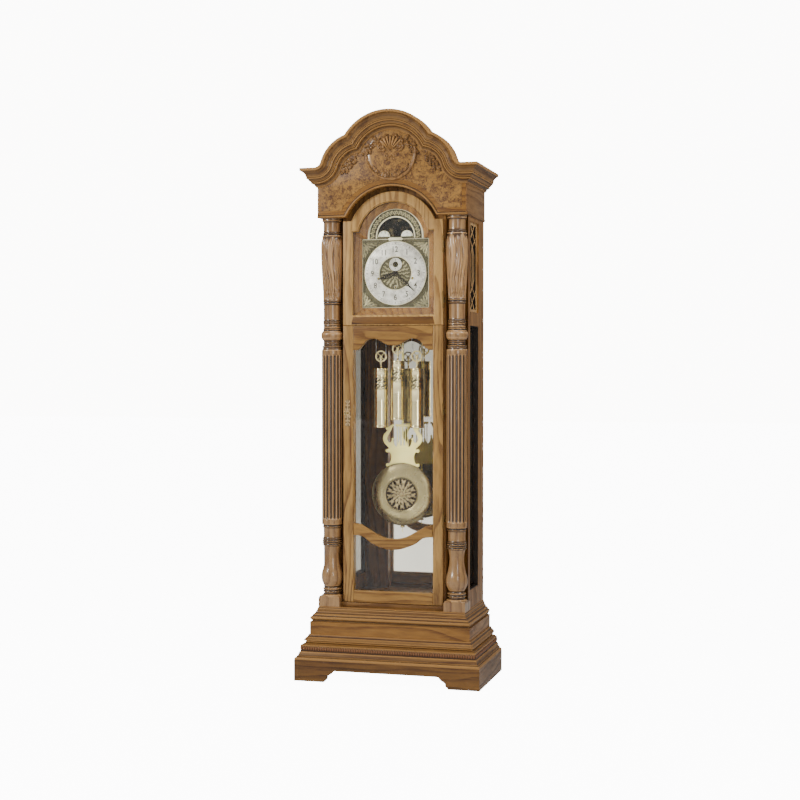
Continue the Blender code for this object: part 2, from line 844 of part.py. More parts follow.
def make_fret_grilles():
    """Interlaced strips in a border that fits the opening beside the dial."""
    front = post_back_y + side_opening_front_inset + seat_gap
    foot = fret_foot + seat_gap
    half_depth, half_height = side_opening_depth / 2 - seat_gap, fret_height / 2 - seat_gap
    middle_y, middle_z = front + half_depth, foot + half_height
    outer_x = case_half - fret_recess

    def placed(shares):
        inner_half, inner_height = half_depth - fret_frame_width, half_height - fret_frame_width
        return [(middle_y + inner_half * across, middle_z + inner_height * up) for across, up in shares]

    def strip(shares, level):
        inset = level * fret_step
        return flat("strip", [ribbon(placed(shares), fret_strip_width)], outer_x - fret_thickness + inset,
                    outer_x - inset, facing="X")

    outer = box_outline(front, foot, front + 2 * half_depth, foot + 2 * half_height)
    inner = box_outline(
        front + fret_frame_width, foot + fret_frame_width,
        front + 2 * half_depth - fret_frame_width, foot + 2 * half_height - fret_frame_width,
    )
    grille = flat("grille", [outer, inner], outer_x - fret_thickness, outer_x, facing="X")
    strips = [strip(fret_middle_shares, 1)]
    for side in (-1, 1):
        upper = [(side * across, up) for across, up in fret_long_shares]
        lower = [(across, -up) for across, up in reversed(upper[1:])]
        strips.append(strip(lower + upper, 2.5 + side / 2))
        for end in (-1, 1):
            for level, tie in enumerate(fret_tie_shares, 4):
                strips.append(strip([(side * across, end * up) for across, up in tie], level))
    pair(join(grille, *strips), "fret_grille", oak)


def make_back():
    half = side_inner - seat_gap
    panel = block("panel", (-half, back_y - back_thickness, case_base), (half, back_y, case_top))
    piece(panel, "back_panel", oak_dark)
    rear = back_y - back_thickness - seat_gap
    half -= mirror_margin
    foot = case_base + mirror_foot_height
    glass = block("mirror", (-half, rear - mirror_thickness, foot), (half, rear, foot + mirror_height))
    piece(glass, "waist_mirror", mirror_silver)


def fluted_shaft():
    """A round shaft whose flutes run out a little before either end."""
    foot = column_foot + column_height * flute_foot_share
    head = column_foot + column_height * flute_head_share
    start, end = foot + flute_end_margin, head - flute_end_margin
    rings = []
    for height, depth in (
        (foot, 0), (start, 0), (start + flute_end_length, 1), (end - flute_end_length, 1), (end, 0), (head, 0),
    ):
        ring = []
        for i in range(flute_count):
            for across, hollow in flute_shares:
                angle = 2 * pi * (i + across) / flute_count
                radius = shaft_radius - flute_depth * hollow * depth
                ring.append((column_x + radius * cos(angle), column_axis_y + radius * sin(angle), height))
        rings.append(ring)
    return loft("flutes", rings)


def make_columns():
    """A turned and fluted column on a square block."""
    profile = [(shaft_radius * r, column_foot + column_height * z) for z, r in column_profile_shares]
    profile = [(0, profile[0][1]), *profile, (0, profile[-1][1])]
    core = turned("core", profile, column_steps, (column_x, column_axis_y, 0))
    half = column_block_width / 2
    foot = block(
        "block", (column_x - half, column_axis_y - half, case_base),
        (column_x + half, column_axis_y + half, case_base + column_block_height),
    )
    pair(join(core, fluted_shaft(), foot), "column", oak)


def bonnet_half_line(offset, half_width):
    """Right half of the bonnet's outline, from its end to the apex, moved in square to itself by the offset."""
    flat_height = cornice_top_height - offset
    shoulder = (shoulder_centre_x, cornice_top_height - shoulder_centre_drop)
    rise = flare_radius + shoulder_centre_drop
    flare = (
        shoulder[0] + sqrt((shoulder_radius + flare_radius) ** 2 - rise**2), cornice_top_height + flare_radius,
    )
    meeting = degrees(atan2(rise, flare[0] - shoulder[0]))
    crown_height = bonnet_apex - bonnet_radius
    crown, side = bonnet_radius - offset, shoulder_radius - offset
    distance = hypot(shoulder[0], shoulder[1] - crown_height)
    turn = acos((crown**2 + distance**2 - side**2) / (2 * crown * distance))
    cusp_angle = atan2(shoulder[1] - crown_height, shoulder[0]) + turn
    cusp = (crown * cos(cusp_angle), crown_height + crown * sin(cusp_angle))
    side_angle = degrees(atan2(cusp[1] - shoulder[1], cusp[0] - shoulder[0]))
    return (
        [(half_width, flat_height)]
        + arc(flare, flare_radius + offset, 270, 180 + meeting, flare_steps)
        + arc(shoulder, side, meeting, side_angle, shoulder_steps)[1:]
        + arc((0, crown_height), crown, degrees(cusp_angle), 90, bonnet_steps)[1:-1] + [(0, bonnet_apex - offset)]
    )


def cornice_profile():
    """(projection, drop) of the moulding, from the top of its lip to its lowest bead."""
    return [(cornice_projection * x, cornice_drop * z) for x, z in cornice_shares]


def make_pediment_board():
    """The arched front board, with a bead round the arch and blocks behind it over the columns."""
    def arch_line(radius, foot):
        """The arch down to a level line, from its right-hand end to its left."""
        turn = degrees(asin((foot - arch_centre_height) / radius))
        return arc((0, arch_centre_height), radius, turn, 180 - turn, arch_steps)

    top = both_halves(bonnet_half_line(pediment_top_drop, frieze_half))
    outline = [(frieze_half, frieze_foot_height)] + top + [(-frieze_half, frieze_foot_height)]
    outline += arch_line(frieze_arch_radius, frieze_foot_height)[::-1]
    board = flat("board", [outline], frieze_face_y, frieze_back_y)
    half, foot = frieze_half - arch_bead_setback, frieze_foot_height + arch_bead_setback
    head = frieze_foot_height + foot_bead_height
    bead = [(half, foot), (half, head), *arch_line(frieze_arch_radius + arch_bead_width, head), (-half, head),
            (-half, foot), *arch_line(frieze_arch_radius + arch_bead_setback, foot)[::-1]]
    parts = [flat("bead", [bead], frieze_face_y - arch_bead_thickness, frieze_face_y + corner_block_lap)]
    for side in (-1, 1):
        inner, outer = side * (frieze_half - corner_block_inset), side * case_half
        parts.append(block(
            "corner", (min(inner, outer), frieze_back_y - corner_block_lap, frieze_foot_height + arch_bead_setback),
            (max(inner, outer), post_face_y - seat_gap, case_top),
        ))
    piece(join(board, *parts), "pediment_board", oak)


def make_bonnet_moulding():
    """The moulding that runs along the top of the pediment, mitred at both cusps and both ends."""
    rows = []
    for projection, drop in [(seat_gap, 0), *cornice_profile(), (seat_gap, cornice_drop)]:
        line = both_halves(bonnet_half_line(drop, frieze_half + projection))
        rows.append([(x, frieze_face_y - projection, z) for x, z in line])
    stations = list(zip(*rows))
    piece(loft("bonnet", stations), "bonnet_moulding", oak)


def make_cornices():
    """The side boards of the frieze with their straight cornice, mitred to the bonnet moulding."""
    inner = frieze_half - cornice_side_thickness
    section = [(inner, cornice_top_height)]
    section += [(frieze_half + x, cornice_top_height - z) for x, z in cornice_profile()]
    section += [(frieze_half, cornice_top_height - cornice_drop), (frieze_half, frieze_foot_height),
                (inner, frieze_foot_height)]
    rings = [
        [(x, back_y, z) for x, z in section],
        [(x, frieze_face_y - (x - frieze_half) + mitre_gap, z) for x, z in section],
    ]
    board = loft("cornice", rings)
    corner = block(
        "corner", (inner - overrun, frieze_face_y - cornice_projection, frieze_foot_height - overrun),
        (frieze_half + seat_gap, frieze_back_y + seat_gap, cornice_top_height + overrun),
    )
    pair(cut(board, corner), "cornice", oak)


def make_roof_board():
    half = frieze_half - cornice_side_thickness - seat_gap
    foot = case_top + seat_gap
    piece(block("roof", (-half, frieze_back_y + seat_gap, foot), (half, back_y, foot + roof_thickness)),
          "roof_board", oak_dark)


def shell_ring(rear, reach, valley, ridge):
    """One outline of the shell: a fan with a lobe on each rib, which stands out further than the valleys."""
    count = shell_rib_count * shell_rib_steps
    points = []
    for i in range(count + 1):
        angle = radians(shell_spread * (i / count - 0.5))
        lobe = abs(sin(pi * i / shell_rib_steps))
        radius = shell_length * reach * (1 - shell_lobe_share * (1 - lobe))
        depth = shell_depth * (valley + (ridge - valley) * lobe)
        points.append((radius * sin(angle), rear - depth, shell_foot_height + radius * cos(angle)))
    foot = shell_length * shell_foot_share
    for side in (1, -1):
        points.append((side * foot * reach, rear - shell_depth * valley, shell_foot_height - foot * reach))
    return points


def make_carvings():
    """The round frame and the shell that are applied to the pediment."""
    centre = (0, cartouche_centre_height)
    outer = arc(centre, cartouche_radius, 180 - cartouche_rise, 360 + cartouche_rise, arch_steps)
    inner = arc(centre, cartouche_radius - cartouche_width, 360 + cartouche_rise, 180 - cartouche_rise, arch_steps)
    rear = frieze_face_y - seat_gap
    ring = flat("cartouche", [outer + inner], rear - cartouche_thickness, rear)
    bevel = ring.modifiers.new("Bevel", "BEVEL")
    bevel.width = cartouche_bevel
    bevel.segments = 1
    bevel.limit_method = "ANGLE"
    bevel.angle_limit = radians(60)
    piece(as_mesh(ring), "cartouche_ring", oak)

    rings = [shell_ring(rear, *row) for row in shell_ring_shares]
    piece(loft("shell", rings), "shell_carving", oak)


def make_dial_mask():
    """The board between the hood door and the dial, with a splayed opening."""
    board = block(
        "mask", (seat_gap - post_inner, post_face_y, seat_board_top + seat_gap),
        (post_inner - seat_gap, dial_face_y - seat_gap, case_top),
    )
    margin = mask_opening_margin
    near = arched_outline(
        hood_sight_width / 2 + margin, hood_door_foot + hood_sight_foot_height - margin,
        hood_door_foot + hood_sight_shoulder_height - margin, hood_sight_arch_radius + margin, arch_centre_height,
    )
    far = arched_outline(
        dial_window_width / 2, dial_window_foot_height, dial_window_shoulder_height, dial_window_arch_radius,
        dial_arch_centre_height,
    )
    rings = []
    for outline, y in (
        (near, post_face_y - overrun), (near, post_face_y), (far, dial_face_y - seat_gap),
        (far, dial_face_y + overrun),
    ):
        rings.append([(x, y, z) for x, z in outline])
    piece(cut(board, loft("splay", rings)), "dial_mask", oak)


def winding_places():
    """(x, height) of the three winding arbors: left, middle, right."""
    side_x = side_weight_x - cable_wrap_radius + cable_offset
    return ((-side_x, side_drum_height), (0, centre_drum_height), (side_x, side_drum_height))


def moon_window():
    """A half round window with two round hills at its foot."""
    foot = (0, moon_window_height)
    hump = moon_hump_spacing / 2
    outline = arc(foot, moon_window_radius, 0, 180, arch_steps)
    for side in (-1, 1):
        outline += arc((side * hump, moon_window_height), moon_hump_radius, 180, 0, 8)
    return outline


def make_dial():
    outline = arched_outline(
        dial_width / 2, dial_foot_height, dial_shoulder_height, dial_arch_radius, dial_arch_centre_height,
    )
    centre = (0, dial_centre_height)
    holes = [circle(centre, centre_hole_radius, arbor_sides),
             circle((0, seconds_height), seconds_hole_radius, arbor_sides), moon_window()]
    holes += [circle(place, winding_hole_radius, arbor_sides) for place in winding_places()]
    plate = flat("dial", [outline, *holes], dial_face_y, dial_back_y)
    near = dial_back_y - dial_thickness / 2
    feet = [
        cylinder("foot", (x, near, z), (x, front_plate_y - seat_gap, z), dial_foot_radius, pillar_sides)
        for x, z in pillar_places()
    ]
    disc_back_y = dial_back_y + moon_disc_gap + moon_disc_thickness
    collar_y = disc_back_y + seat_gap
    stud = cylinder("stud", (0, near, moon_centre_height), (0, collar_y + overrun / 2, moon_centre_height),
                    moon_stud_radius, arbor_sides)
    collar = cylinder("collar", (0, collar_y, moon_centre_height),
                      (0, collar_y + moon_collar_thickness, moon_centre_height), moon_collar_radius, arbor_sides)
    piece(join(plate, stud, collar, *feet), "dial_plate", brass_antique)

    left, _, right = winding_places()
    ring = flat(
        "chapters", [
            circle(centre, chapter_ring_radius, ring_sides), circle(centre, chapter_ring_inner_radius, ring_sides),
            circle(left, winding_hole_radius, arbor_sides), circle(right, winding_hole_radius, arbor_sides),
        ],
        dial_face_y - seat_gap - chapter_ring_thickness, dial_face_y - seat_gap,
    )
    piece(ring, "chapter_ring", silver)

    middle = (0, moon_centre_height)
    disc = flat(
        "moon", [circle(middle, moon_disc_radius, ring_sides), circle(middle, moon_stud_radius + seat_gap, arbor_sides)],
        disc_back_y - moon_disc_thickness, disc_back_y,
    )
    piece(disc, "moon_disc", moon_blue, pivot("moon_axis", (0, dial_back_y, moon_centre_height)))


def hand_outline(length, shares, turn):
    """A hand's edge, pointing so many degrees clockwise from twelve."""
    along = Vector((sin(radians(turn)), cos(radians(turn)))) * length
    across = Vector((cos(radians(turn)), -sin(radians(turn)))) * length
    line = [tuple(along * reach + across * half) for reach, half in shares]
    return line + [tuple(along * reach - across * half) for reach, half in reversed(shares)]


def hand(name, length, shares, turn, centre_height, y, boss_radius):
    outline = [(x, centre_height + z) for x, z in hand_outline(length, shares, turn)]
    blade = flat(name, [outline], y, y + hand_thickness)
    boss = cylinder(f"{name} boss", (0, y - hand_thickness / 2, centre_height),
                    (0, y + 2 * hand_thickness, centre_height), boss_radius, arbor_sides)
    return join(blade, boss)


def make_hands():
    """Hour hand on its pipe, minute hand on the arbor inside it, and the second hand."""
    minute_turn = 6 * minutes_past
    hour_turn = 30 * hours_past + minutes_past / 2
    z = dial_centre_height
    minute_arbor = cylinder("arbor", (0, minute_hand_y + hand_thickness, z), (0, back_plate_y + plate_thickness, z),
                            minute_arbor_radius, arbor_sides)
    minute = hand("minute", minute_hand_length, minute_hand_shares, minute_turn, z, minute_hand_y,
                  minute_boss_radius)
    piece(join(minute, minute_arbor), "minute_hand", black, pivot("minute_axis", (0, minute_hand_y, z)))

    hour = hand("hour", hour_hand_length, hour_hand_shares, hour_turn, z, hour_hand_y, hour_boss_radius)
    pipe = cylinder("pipe", (0, hour_hand_y + hand_thickness, z), (0, front_plate_y - seat_gap, z),
                    hour_pipe_radius, arbor_sides)
    bore = cylinder("bore", (0, hour_hand_y - overrun, z), (0, front_plate_y + overrun, z),
                    minute_arbor_radius + seat_gap, arbor_sides)
    piece(cut(join(hour, pipe), bore), "hour_hand", black, pivot("hour_axis", (0, hour_hand_y, z)))

    z = seconds_height
    axis = pivot("seconds_axis", (0, second_hand_y, z))
    second = hand("second", second_hand_length, second_hand_shares, 0, z, second_hand_y, seconds_boss_radius)
    arbor = cylinder("arbor", (0, second_hand_y + hand_thickness, z), (0, back_plate_y + plate_thickness, z),
                     seconds_arbor_radius, arbor_sides)
    piece(join(second, arbor), "second_hand", black, axis)
    piece(make_escape_wheel(z), "escape_wheel", brass, axis)


def make_escape_wheel(z):
    """Thirty pointed teeth, each leaning the way the wheel turns."""
    pitch = 2 * pi / escape_tooth_count
    outline = []
    for i in range(escape_tooth_count):
        for share, radius in ((0.0, escape_root_radius), (0.7, escape_radius)):
            angle = pitch * (i + share)
            outline.append((radius * cos(angle), z + radius * sin(angle)))
    hole = circle((0, z), seconds_arbor_radius + seat_gap, arbor_sides)
    return flat("escape", [outline, hole], escape_y, escape_y + escape_thickness)


def make_seat_board():
    """The shelf under the movement, with a rail along its front edge and slots for the cables."""
    half, front = side_inner - seat_gap, post_back_y + seat_gap
    wrap = cable_wrap_radius + cable_slot_margin
    slots = [
        box_outline(x - wrap, weight_y - cable_slot_width / 2, x + wrap, weight_y + cable_slot_width / 2)
        for x in (place[0] for place in weight_places())
    ]
    board = flat("seat", [box_outline(-half, front, half, seat_board_back_y), *slots], seat_board_foot_height,
                 seat_board_top, facing="Z")
    inside_y, rail_y = front + overrun, post_face_y + seat_rail_thickness
    low, high = seat_board_foot_height + seat_gap, seat_board_top - seat_gap
    rail = flat("rail", [[
        (post_face_y, low - seat_rail_drop), (rail_y, low - seat_rail_drop), (rail_y, low), (inside_y, low),
        (inside_y, high), (post_face_y, high),
    ]], seat_gap - post_inner, post_inner - seat_gap, facing="X")
    piece(join(board, rail), "seat_board", oak_dark)


def pillar_places():
    x = plate_width / 2 - pillar_inset
    return [(side * x, z) for side in (-1, 1)
            for z in (plate_foot_height + pillar_foot_margin, plate_head_height - pillar_inset)]


def make_movement_plates():
    """Two brass plates joined by pillars, with cable posts and the cock that holds the pendulum's pin."""
    half, foot = plate_width / 2, seat_board_top + seat_gap
    outline = both_halves([
        (half, plate_head_height), (half, foot), (half - plate_leg_width, foot),
        (half - plate_leg_width, plate_foot_height),
    ])
    holes = [circle(place, drum_arbor_radius + pivot_hole_gap, arbor_sides) for place in winding_places()]
    holes += [
        circle((0, dial_centre_height), minute_arbor_radius + pivot_hole_gap, arbor_sides),
        circle((0, seconds_height), seconds_arbor_radius + pivot_hole_gap, arbor_sides),
        circle((0, anchor_height), anchor_arbor_radius + pivot_hole_gap, arbor_sides),
    ]
    front = flat("front", [outline, *holes], front_plate_y, front_plate_y + plate_thickness)
    rear_y = back_plate_y + plate_thickness
    parts = [flat("rear", [outline, *holes], back_plate_y, rear_y)]
    near, far = front_plate_y + plate_thickness / 2, back_plate_y + plate_thickness / 2
    parts += [cylinder("pillar", (x, near, z), (x, far, z), pillar_radius, pillar_sides) for x, z in pillar_places()]
    for x, side, drum_height in weight_places():
        post_x, post_z = x - side * cable_wrap_radius, drum_height + cable_post_radius + seat_gap
        parts.append(cylinder("post", (post_x, near, post_z), (post_x, near + cable_post_reach, post_z),
                              cable_post_radius, pillar_sides))
    low, high = anchor_height - cock_height / 2, anchor_height + cock_height / 2
    for side in (-1, 1):
        inner, outer = side * (cock_half_width - cock_arm_width), side * cock_half_width
        parts.append(block("arm", (min(inner, outer), far, low), (max(inner, outer), cock_back_y, high)))
    bar_y = cock_back_y - cock_bar_thickness
    parts.append(block("bar", (-cock_half_width, bar_y, low), (cock_half_width, cock_back_y, high)))
    parts.append(cylinder("pin", (0, bar_y + cock_bar_thickness / 2, anchor_height),
                          (0, bar_y - suspension_pin_length, anchor_height), suspension_pin_radius, arbor_sides))
    piece(join(front, *parts), "movement_plates", brass)


def make_drums():
    """Cable drum, great wheel and winding arbor of each train."""
    rear = drum_front_y + drum_length
    wheel_back = rear + drum_flange_thickness + great_wheel_thickness
    profile = [
        (0, back_plate_y + plate_thickness / 2), (drum_arbor_radius, back_plate_y + plate_thickness / 2),
        (drum_arbor_radius, wheel_back), (great_wheel_radius, wheel_back),
        (great_wheel_radius, wheel_back - great_wheel_thickness),
        (drum_flange_radius, rear + drum_flange_thickness), (drum_flange_radius, rear),
        (drum_radius, rear), (drum_radius, drum_front_y), (drum_flange_radius, drum_front_y),
        (drum_flange_radius, drum_front_y - drum_flange_thickness),
        (drum_arbor_radius, drum_front_y - drum_flange_thickness), (drum_arbor_radius, winding_square_y),
        (0, winding_square_y),
    ]
    for name, (x, z) in zip(("left", "centre", "right"), winding_places()):
        drum = turned("drum", profile, drum_steps, (x, 0, z), axis="Y")
        piece(drum, f"cable_drum_{name}", brass, pivot(f"drum_axis_{name}", (x, weight_y, z)))


def make_pallet_anchor():
    """Anchor, arbor and crutch, which rock with the pendulum."""
    half = [(anchor_distance * x, anchor_height + anchor_distance * z) for x, z in anchor_shares]
    outline = half + [(-x, z) for x, z in reversed(half)]
    anchor = flat("anchor", [outline], anchor_y, anchor_y + anchor_thickness)
    arbor = cylinder("arbor", (0, anchor_arbor_front_y, anchor_height), (0, anchor_arbor_back_y, anchor_height),
                     anchor_arbor_radius, arbor_sides)
    fork_z = anchor_height - crutch_length
    rod = cylinder("rod", (0, crutch_y, anchor_height), (0, crutch_y, fork_z), crutch_radius, 8)
    inner = rod_width / 2 + seat_gap
    outer = inner + crutch_prong_width
    low, high = fork_z - crutch_fork_height / 2, fork_z + crutch_fork_height / 2
    near, far = crutch_y - crutch_fork_thickness / 2, crutch_y + crutch_fork_thickness / 2
    parts = [arbor, rod, block("fork", (-outer, near, low), (outer, far, high))]
    for side in (-1, 1):
        edges = sorted((side * inner, side * outer))
        parts.append(block("prong", (edges[0], near, low), (edges[1], pendulum_y + rod_thickness, high)))
    piece(join(anchor, *parts), "pallet_anchor", steel, pivot("anchor_axis", (0, crutch_y, anchor_height)))


def make_chime_rods():
    """A row of graded rods hanging from a block on the back panel."""
    half = chime_rod_spacing * (chime_rod_count - 1) / 2 + chime_block_margin
    rear = back_y - back_thickness - seat_gap
    foot = chime_block_foot_height
    head = block("block", (-half, rear - chime_block_depth, foot), (half, rear, foot + chime_block_height))
    rods = []
    for i in range(chime_rod_count):
        x = chime_rod_spacing * (i - (chime_rod_count - 1) / 2)
        length = chime_rod_long + (chime_rod_short - chime_rod_long) * i / (chime_rod_count - 1)
        y = rear - chime_block_depth / 2
        rods.append(cylinder("rod", (x, y, foot + chime_block_height / 2), (x, y, foot - length),
                             chime_rod_radius, chime_rod_sides))
    piece(join(head, *rods), "chime_rods", steel)


def make_pendulum():
    """Rod with its eye, the lyre and the bar behind the bob, then the bob and its rating nut."""
    axis = pivot("pendulum_axis", (0, pendulum_y, anchor_height))
    half = [(lyre_half_width * x, lyre_foot_height + lyre_height * z) for x, z in lyre_shares]
    line = smooth(half, 2)
    outline = line + [(-x, z) for x, z in reversed(line[1:-1])]
    near, far = pendulum_y - lyre_thickness / 2, pendulum_y + lyre_thickness / 2
    lyre = flat("lyre", [outline], near, far)
    bar_top = lyre_bar_foot_height + lyre_bar_height
    deep = lyre_bar_thickness / 2
    parts = [block("bar", (-lyre_bar_width / 2, pendulum_y - deep, lyre_bar_foot_height),
                   (lyre_bar_width / 2, pendulum_y + deep, bar_top))]
    for side in (-1, 1):
        for i in (1, 2):
            x = side * i * lyre_rod_spacing
            parts.append(cylinder("rod", (x, pendulum_y, lyre_foot_height + lyre_height / 4),
                                  (x, pendulum_y, lyre_bar_foot_height + lyre_bar_height / 2), lyre_rod_radius, 6))
    thin = rod_thickness / 2
    foot = bob_centre_height - bob_radius
    head = arc((0, anchor_height), rod_width / 2 + eye_margin, -60, 240, arbor_sides)
    rod = [(-rod_width / 2, foot), (rod_width / 2, foot), (rod_width / 2, anchor_height - rod_width), *head,
           (-rod_width / 2, anchor_height - rod_width)]
    eye = circle((0, anchor_height), suspension_pin_radius + seat_gap, arbor_sides)
    parts.append(flat("rod", [rod, eye], pendulum_y - thin, pendulum_y + thin))
    parts.append(cylinder("thread", (0, pendulum_y, foot + rod_width), (0, pendulum_y, foot - thread_tail),
                          thread_radius, 8))
    piece(join(lyre, *parts), "pendulum_lyre", brass, axis)

    profile = [(bob_radius * r, bob_back_y - bob_depth * y) for r, y in bob_shares]
    profile = [(0, profile[0][1]), *profile, (0, profile[-1][1])]
    bob = turned("bob", profile, bob_steps, (0, 0, bob_centre_height), axis="Y")
    piece(bob, "pendulum_bob", brass, axis)

    top = foot - seat_gap
    inner = thread_radius + seat_gap
    ring = [(nut_radius, top), (nut_radius, top - nut_height), (inner, top - nut_height), (inner, top)]
    nut = turned("nut", ring, arbor_sides, (0, pendulum_y, 0), ring=True)
    piece(nut, "rating_nut", brass, pivot("nut_axis", (0, pendulum_y, top)))


def weight_places():
    """(x, side of the pulley the drum is on, drum height) of the weights: left, middle, right."""
    return (
        (-side_weight_x, 1, side_drum_height),
        (cable_offset - cable_wrap_radius, 1, centre_drum_height),
        (side_weight_x, -1, side_drum_height),
    )


def make_weight(name, x, foot, carrier):
    """A shell on a hook and a stirrup, whose pin carries the pulley."""
    top = foot + weight_height
    profile = [(weight_radius * r, foot + weight_height * z) for r, z in weight_shares]
    profile = [(0, profile[0][1]), *profile, (0, profile[-1][1])]
    shell = turned("weight", profile, weight_steps, (x, weight_y, 0))
    yoke, axle = top + hook_length, top + pulley_height
    deep, wide = stirrup_inner_half_depth, stirrup_inner_half_depth + stirrup_thickness
    stirrup = both_halves([
        (weight_y + deep, yoke + stirrup_thickness), (weight_y + deep, axle + stirrup_head),
        (weight_y + wide, axle + stirrup_head), (weight_y + wide, yoke),
    ], weight_y)
    parts = [
        cylinder("hook", (x, weight_y, top - hook_length), (x, weight_y, yoke + stirrup_thickness / 2),
                 hook_radius, hook_sides),
        ball("ball", (x, weight_y, top + hook_length / 2), hook_ball_radius, hook_sides),
        flat("stirrup", [stirrup], x - stirrup_half_width, x + stirrup_half_width, facing="X"),
    ]
    reach = deep + stirrup_thickness / 2
    parts.append(cylinder("pin", (x, weight_y - reach, axle), (x, weight_y + reach, axle), pulley_pin_radius,
                          hook_sides))
    piece(join(shell, *parts), f"weight_{name}", brass, carrier)
    return axle


def make_pulley(name, x, axle):
    """A grooved wheel with round holes between its spokes."""
    depth = pulley_radius - pulley_groove_radius
    section = [(pulley_groove_radius + depth * r, pulley_half_width * y) for r, y in pulley_groove_shares]
    bore = pulley_pin_radius + seat_gap
    section += [(bore, -pulley_half_width), (bore, pulley_half_width)]
    wheel = turned("pulley", section, pulley_steps, (x, weight_y, axle), axis="Y", ring=True)
    holes = []
    for i in range(pulley_hole_count):
        angle = 2 * pi * (i + 0.5) / pulley_hole_count
        hole_x, hole_z = x + pulley_hole_circle * cos(angle), axle + pulley_hole_circle * sin(angle)
        holes.append(cylinder("hole", (hole_x, weight_y - pulley_radius, hole_z), (hole_x, weight_y + pulley_radius, hole_z),
                              pulley_hole_radius, pulley_hole_sides))
    piece(cut(wheel, *holes), f"pulley_{name}", brass, pivot(f"pulley_axis_{name}", (x, weight_y, axle)))


def make_cable(name, x, top, axle):
    """One cable from the drum, under the pulley and up to its post."""
    data = bpy.data.curves.new("cable", "CURVE")
    data.dimensions = "3D"
    data.bevel_depth = cable_radius
    data.bevel_resolution = 1
    data.use_fill_caps = True
    turn = arc((x, axle), cable_wrap_radius, 180, 360, cable_turn_steps)
    line = [(x - cable_wrap_radius, top), *turn, (x + cable_wrap_radius, top)]
    spline = data.splines.new("POLY")
    spline.points.add(len(line) - 1)
    for point, (across, up) in zip(spline.points, line):
        point.co = (across, weight_y, up, 1)
    piece(as_mesh(linked("cable", data)), f"cable_{name}", steel)


def make_weights():
    names = ("left", "centre", "right")
    for name, (x, _, drum_height) in zip(names, weight_places()):
        foot = side_weight_foot_height + (centre_weight_lift if name == "centre" else 0)
        carrier = pivot(f"weight_line_{name}", (x, weight_y, foot + weight_height))
        axle = make_weight(name, x, foot, carrier)
        make_pulley(name, x, axle)
        make_cable(name, x, drum_height, axle)


def hinge_heights(foot, height, spacing):
    middle = foot + height / 2
    return (middle - spacing / 2, middle + spacing / 2)


def door_knuckles(height):
    """The moving leaf of one hinge: a plate on the door's face with a barrel above and below the fixed one."""
    half, third = hinge_length / 2, hinge_length / 6
    leaf_back = door_face_y + hinge_leaf_inlet
    leaf_front = door_face_y - hinge_leaf_thickness
    edge = hinge_x - hinge_leaf_back
    shapes = [block("leaf", (edge - hinge_leaf_width, leaf_front, height - half), (edge, leaf_back, height + half))]
    for side in (-1, 1):
        ends = sorted((height + side * (third + seat_gap), height + side * half))
        ring = [(hinge_barrel_radius, ends[1]), (hinge_barrel_radius, ends[0]), (hinge_bore_radius, ends[0]),
                (hinge_bore_radius, ends[1])]
        shapes.append(turned("knuckle", ring, hinge_sides, (hinge_x, hinge_y, 0), ring=True))
        shapes.append(block("tab", (edge - hinge_leaf_thickness, leaf_front, ends[0]),
                            (hinge_x - hinge_tab_reach, leaf_back, ends[1])))
    return shapes


def make_hinge(name, height):
    """The fixed half of one hinge: barrel, pin with its end caps, and a leaf screwed to the post."""
    half, third = hinge_length / 2, hinge_length / 6
    axis = (hinge_x, hinge_y)
    barrel = cylinder("barrel", (*axis, height - third), (*axis, height + third), hinge_barrel_radius, hinge_sides)
    pin_end = half + seat_gap + hinge_finial_radius
    parts = [cylinder("pin", (*axis, height - pin_end), (*axis, height + pin_end), hinge_pin_radius, hinge_sides)]
    for side in (-1, 1):
        cap_start = height + side * (half + seat_gap)
        parts.append(cylinder("cap", (*axis, cap_start), (*axis, cap_start + side * hinge_finial_radius),
                              hinge_finial_radius, hinge_sides, hinge_pin_radius))
    plate_x = hinge_x + hinge_leaf_thickness / 2
    plate_back = post_face_y - seat_gap
    parts.append(block("web", (plate_x, hinge_y, height - third),
                       (plate_x + hinge_leaf_thickness, plate_back, height + third)))
    parts.append(block("foot", (plate_x, plate_back - hinge_leaf_thickness, height - third),
                       (plate_x + hinge_foot_width, plate_back, height + third)))
    piece(join(barrel, *parts), name, brass)


def make_hood_door(axis):
    foot = hood_door_foot
    outer = arched_outline(door_half, foot, foot + hood_door_shoulder_height, hood_door_arch_radius,
                           arch_centre_height)
    sight_foot, sight_shoulder = foot + hood_sight_foot_height, foot + hood_sight_shoulder_height
    sight = arched_outline(hood_sight_width / 2, sight_foot, sight_shoulder, hood_sight_arch_radius,
                           arch_centre_height)
    frame = flat("frame", [outer, sight], door_face_y, door_back_y)
    floor_y = door_back_y - door_rebate_depth

    def pane_outline(margin):
        return arched_outline(hood_sight_width / 2 + margin, sight_foot - margin, sight_shoulder + margin,
                              hood_sight_arch_radius + margin, arch_centre_height)

    rebate = flat("rebate", [pane_outline(door_rebate_margin)], floor_y, door_back_y + overrun)
    frame = cut(frame, rebate)
    knuckles = []
    for height in hinge_heights(foot, hood_door_shoulder_height, hood_hinge_spacing):
        knuckles += door_knuckles(height)
    piece(join(frame, *knuckles), "hood_door_frame", oak, axis)
    pane = flat("pane", [pane_outline(door_rebate_margin - seat_gap)], floor_y + seat_gap,
                floor_y + seat_gap + glass_thickness)
    piece(pane, "hood_door_glass", glass_clear, axis)


def edge_line(shares, half_width, height, rise):
    """Half a shaped rail edge, from the stile to the middle."""
    return smooth([(half_width * x, height + rise * z) for x, z in shares], edge_steps)


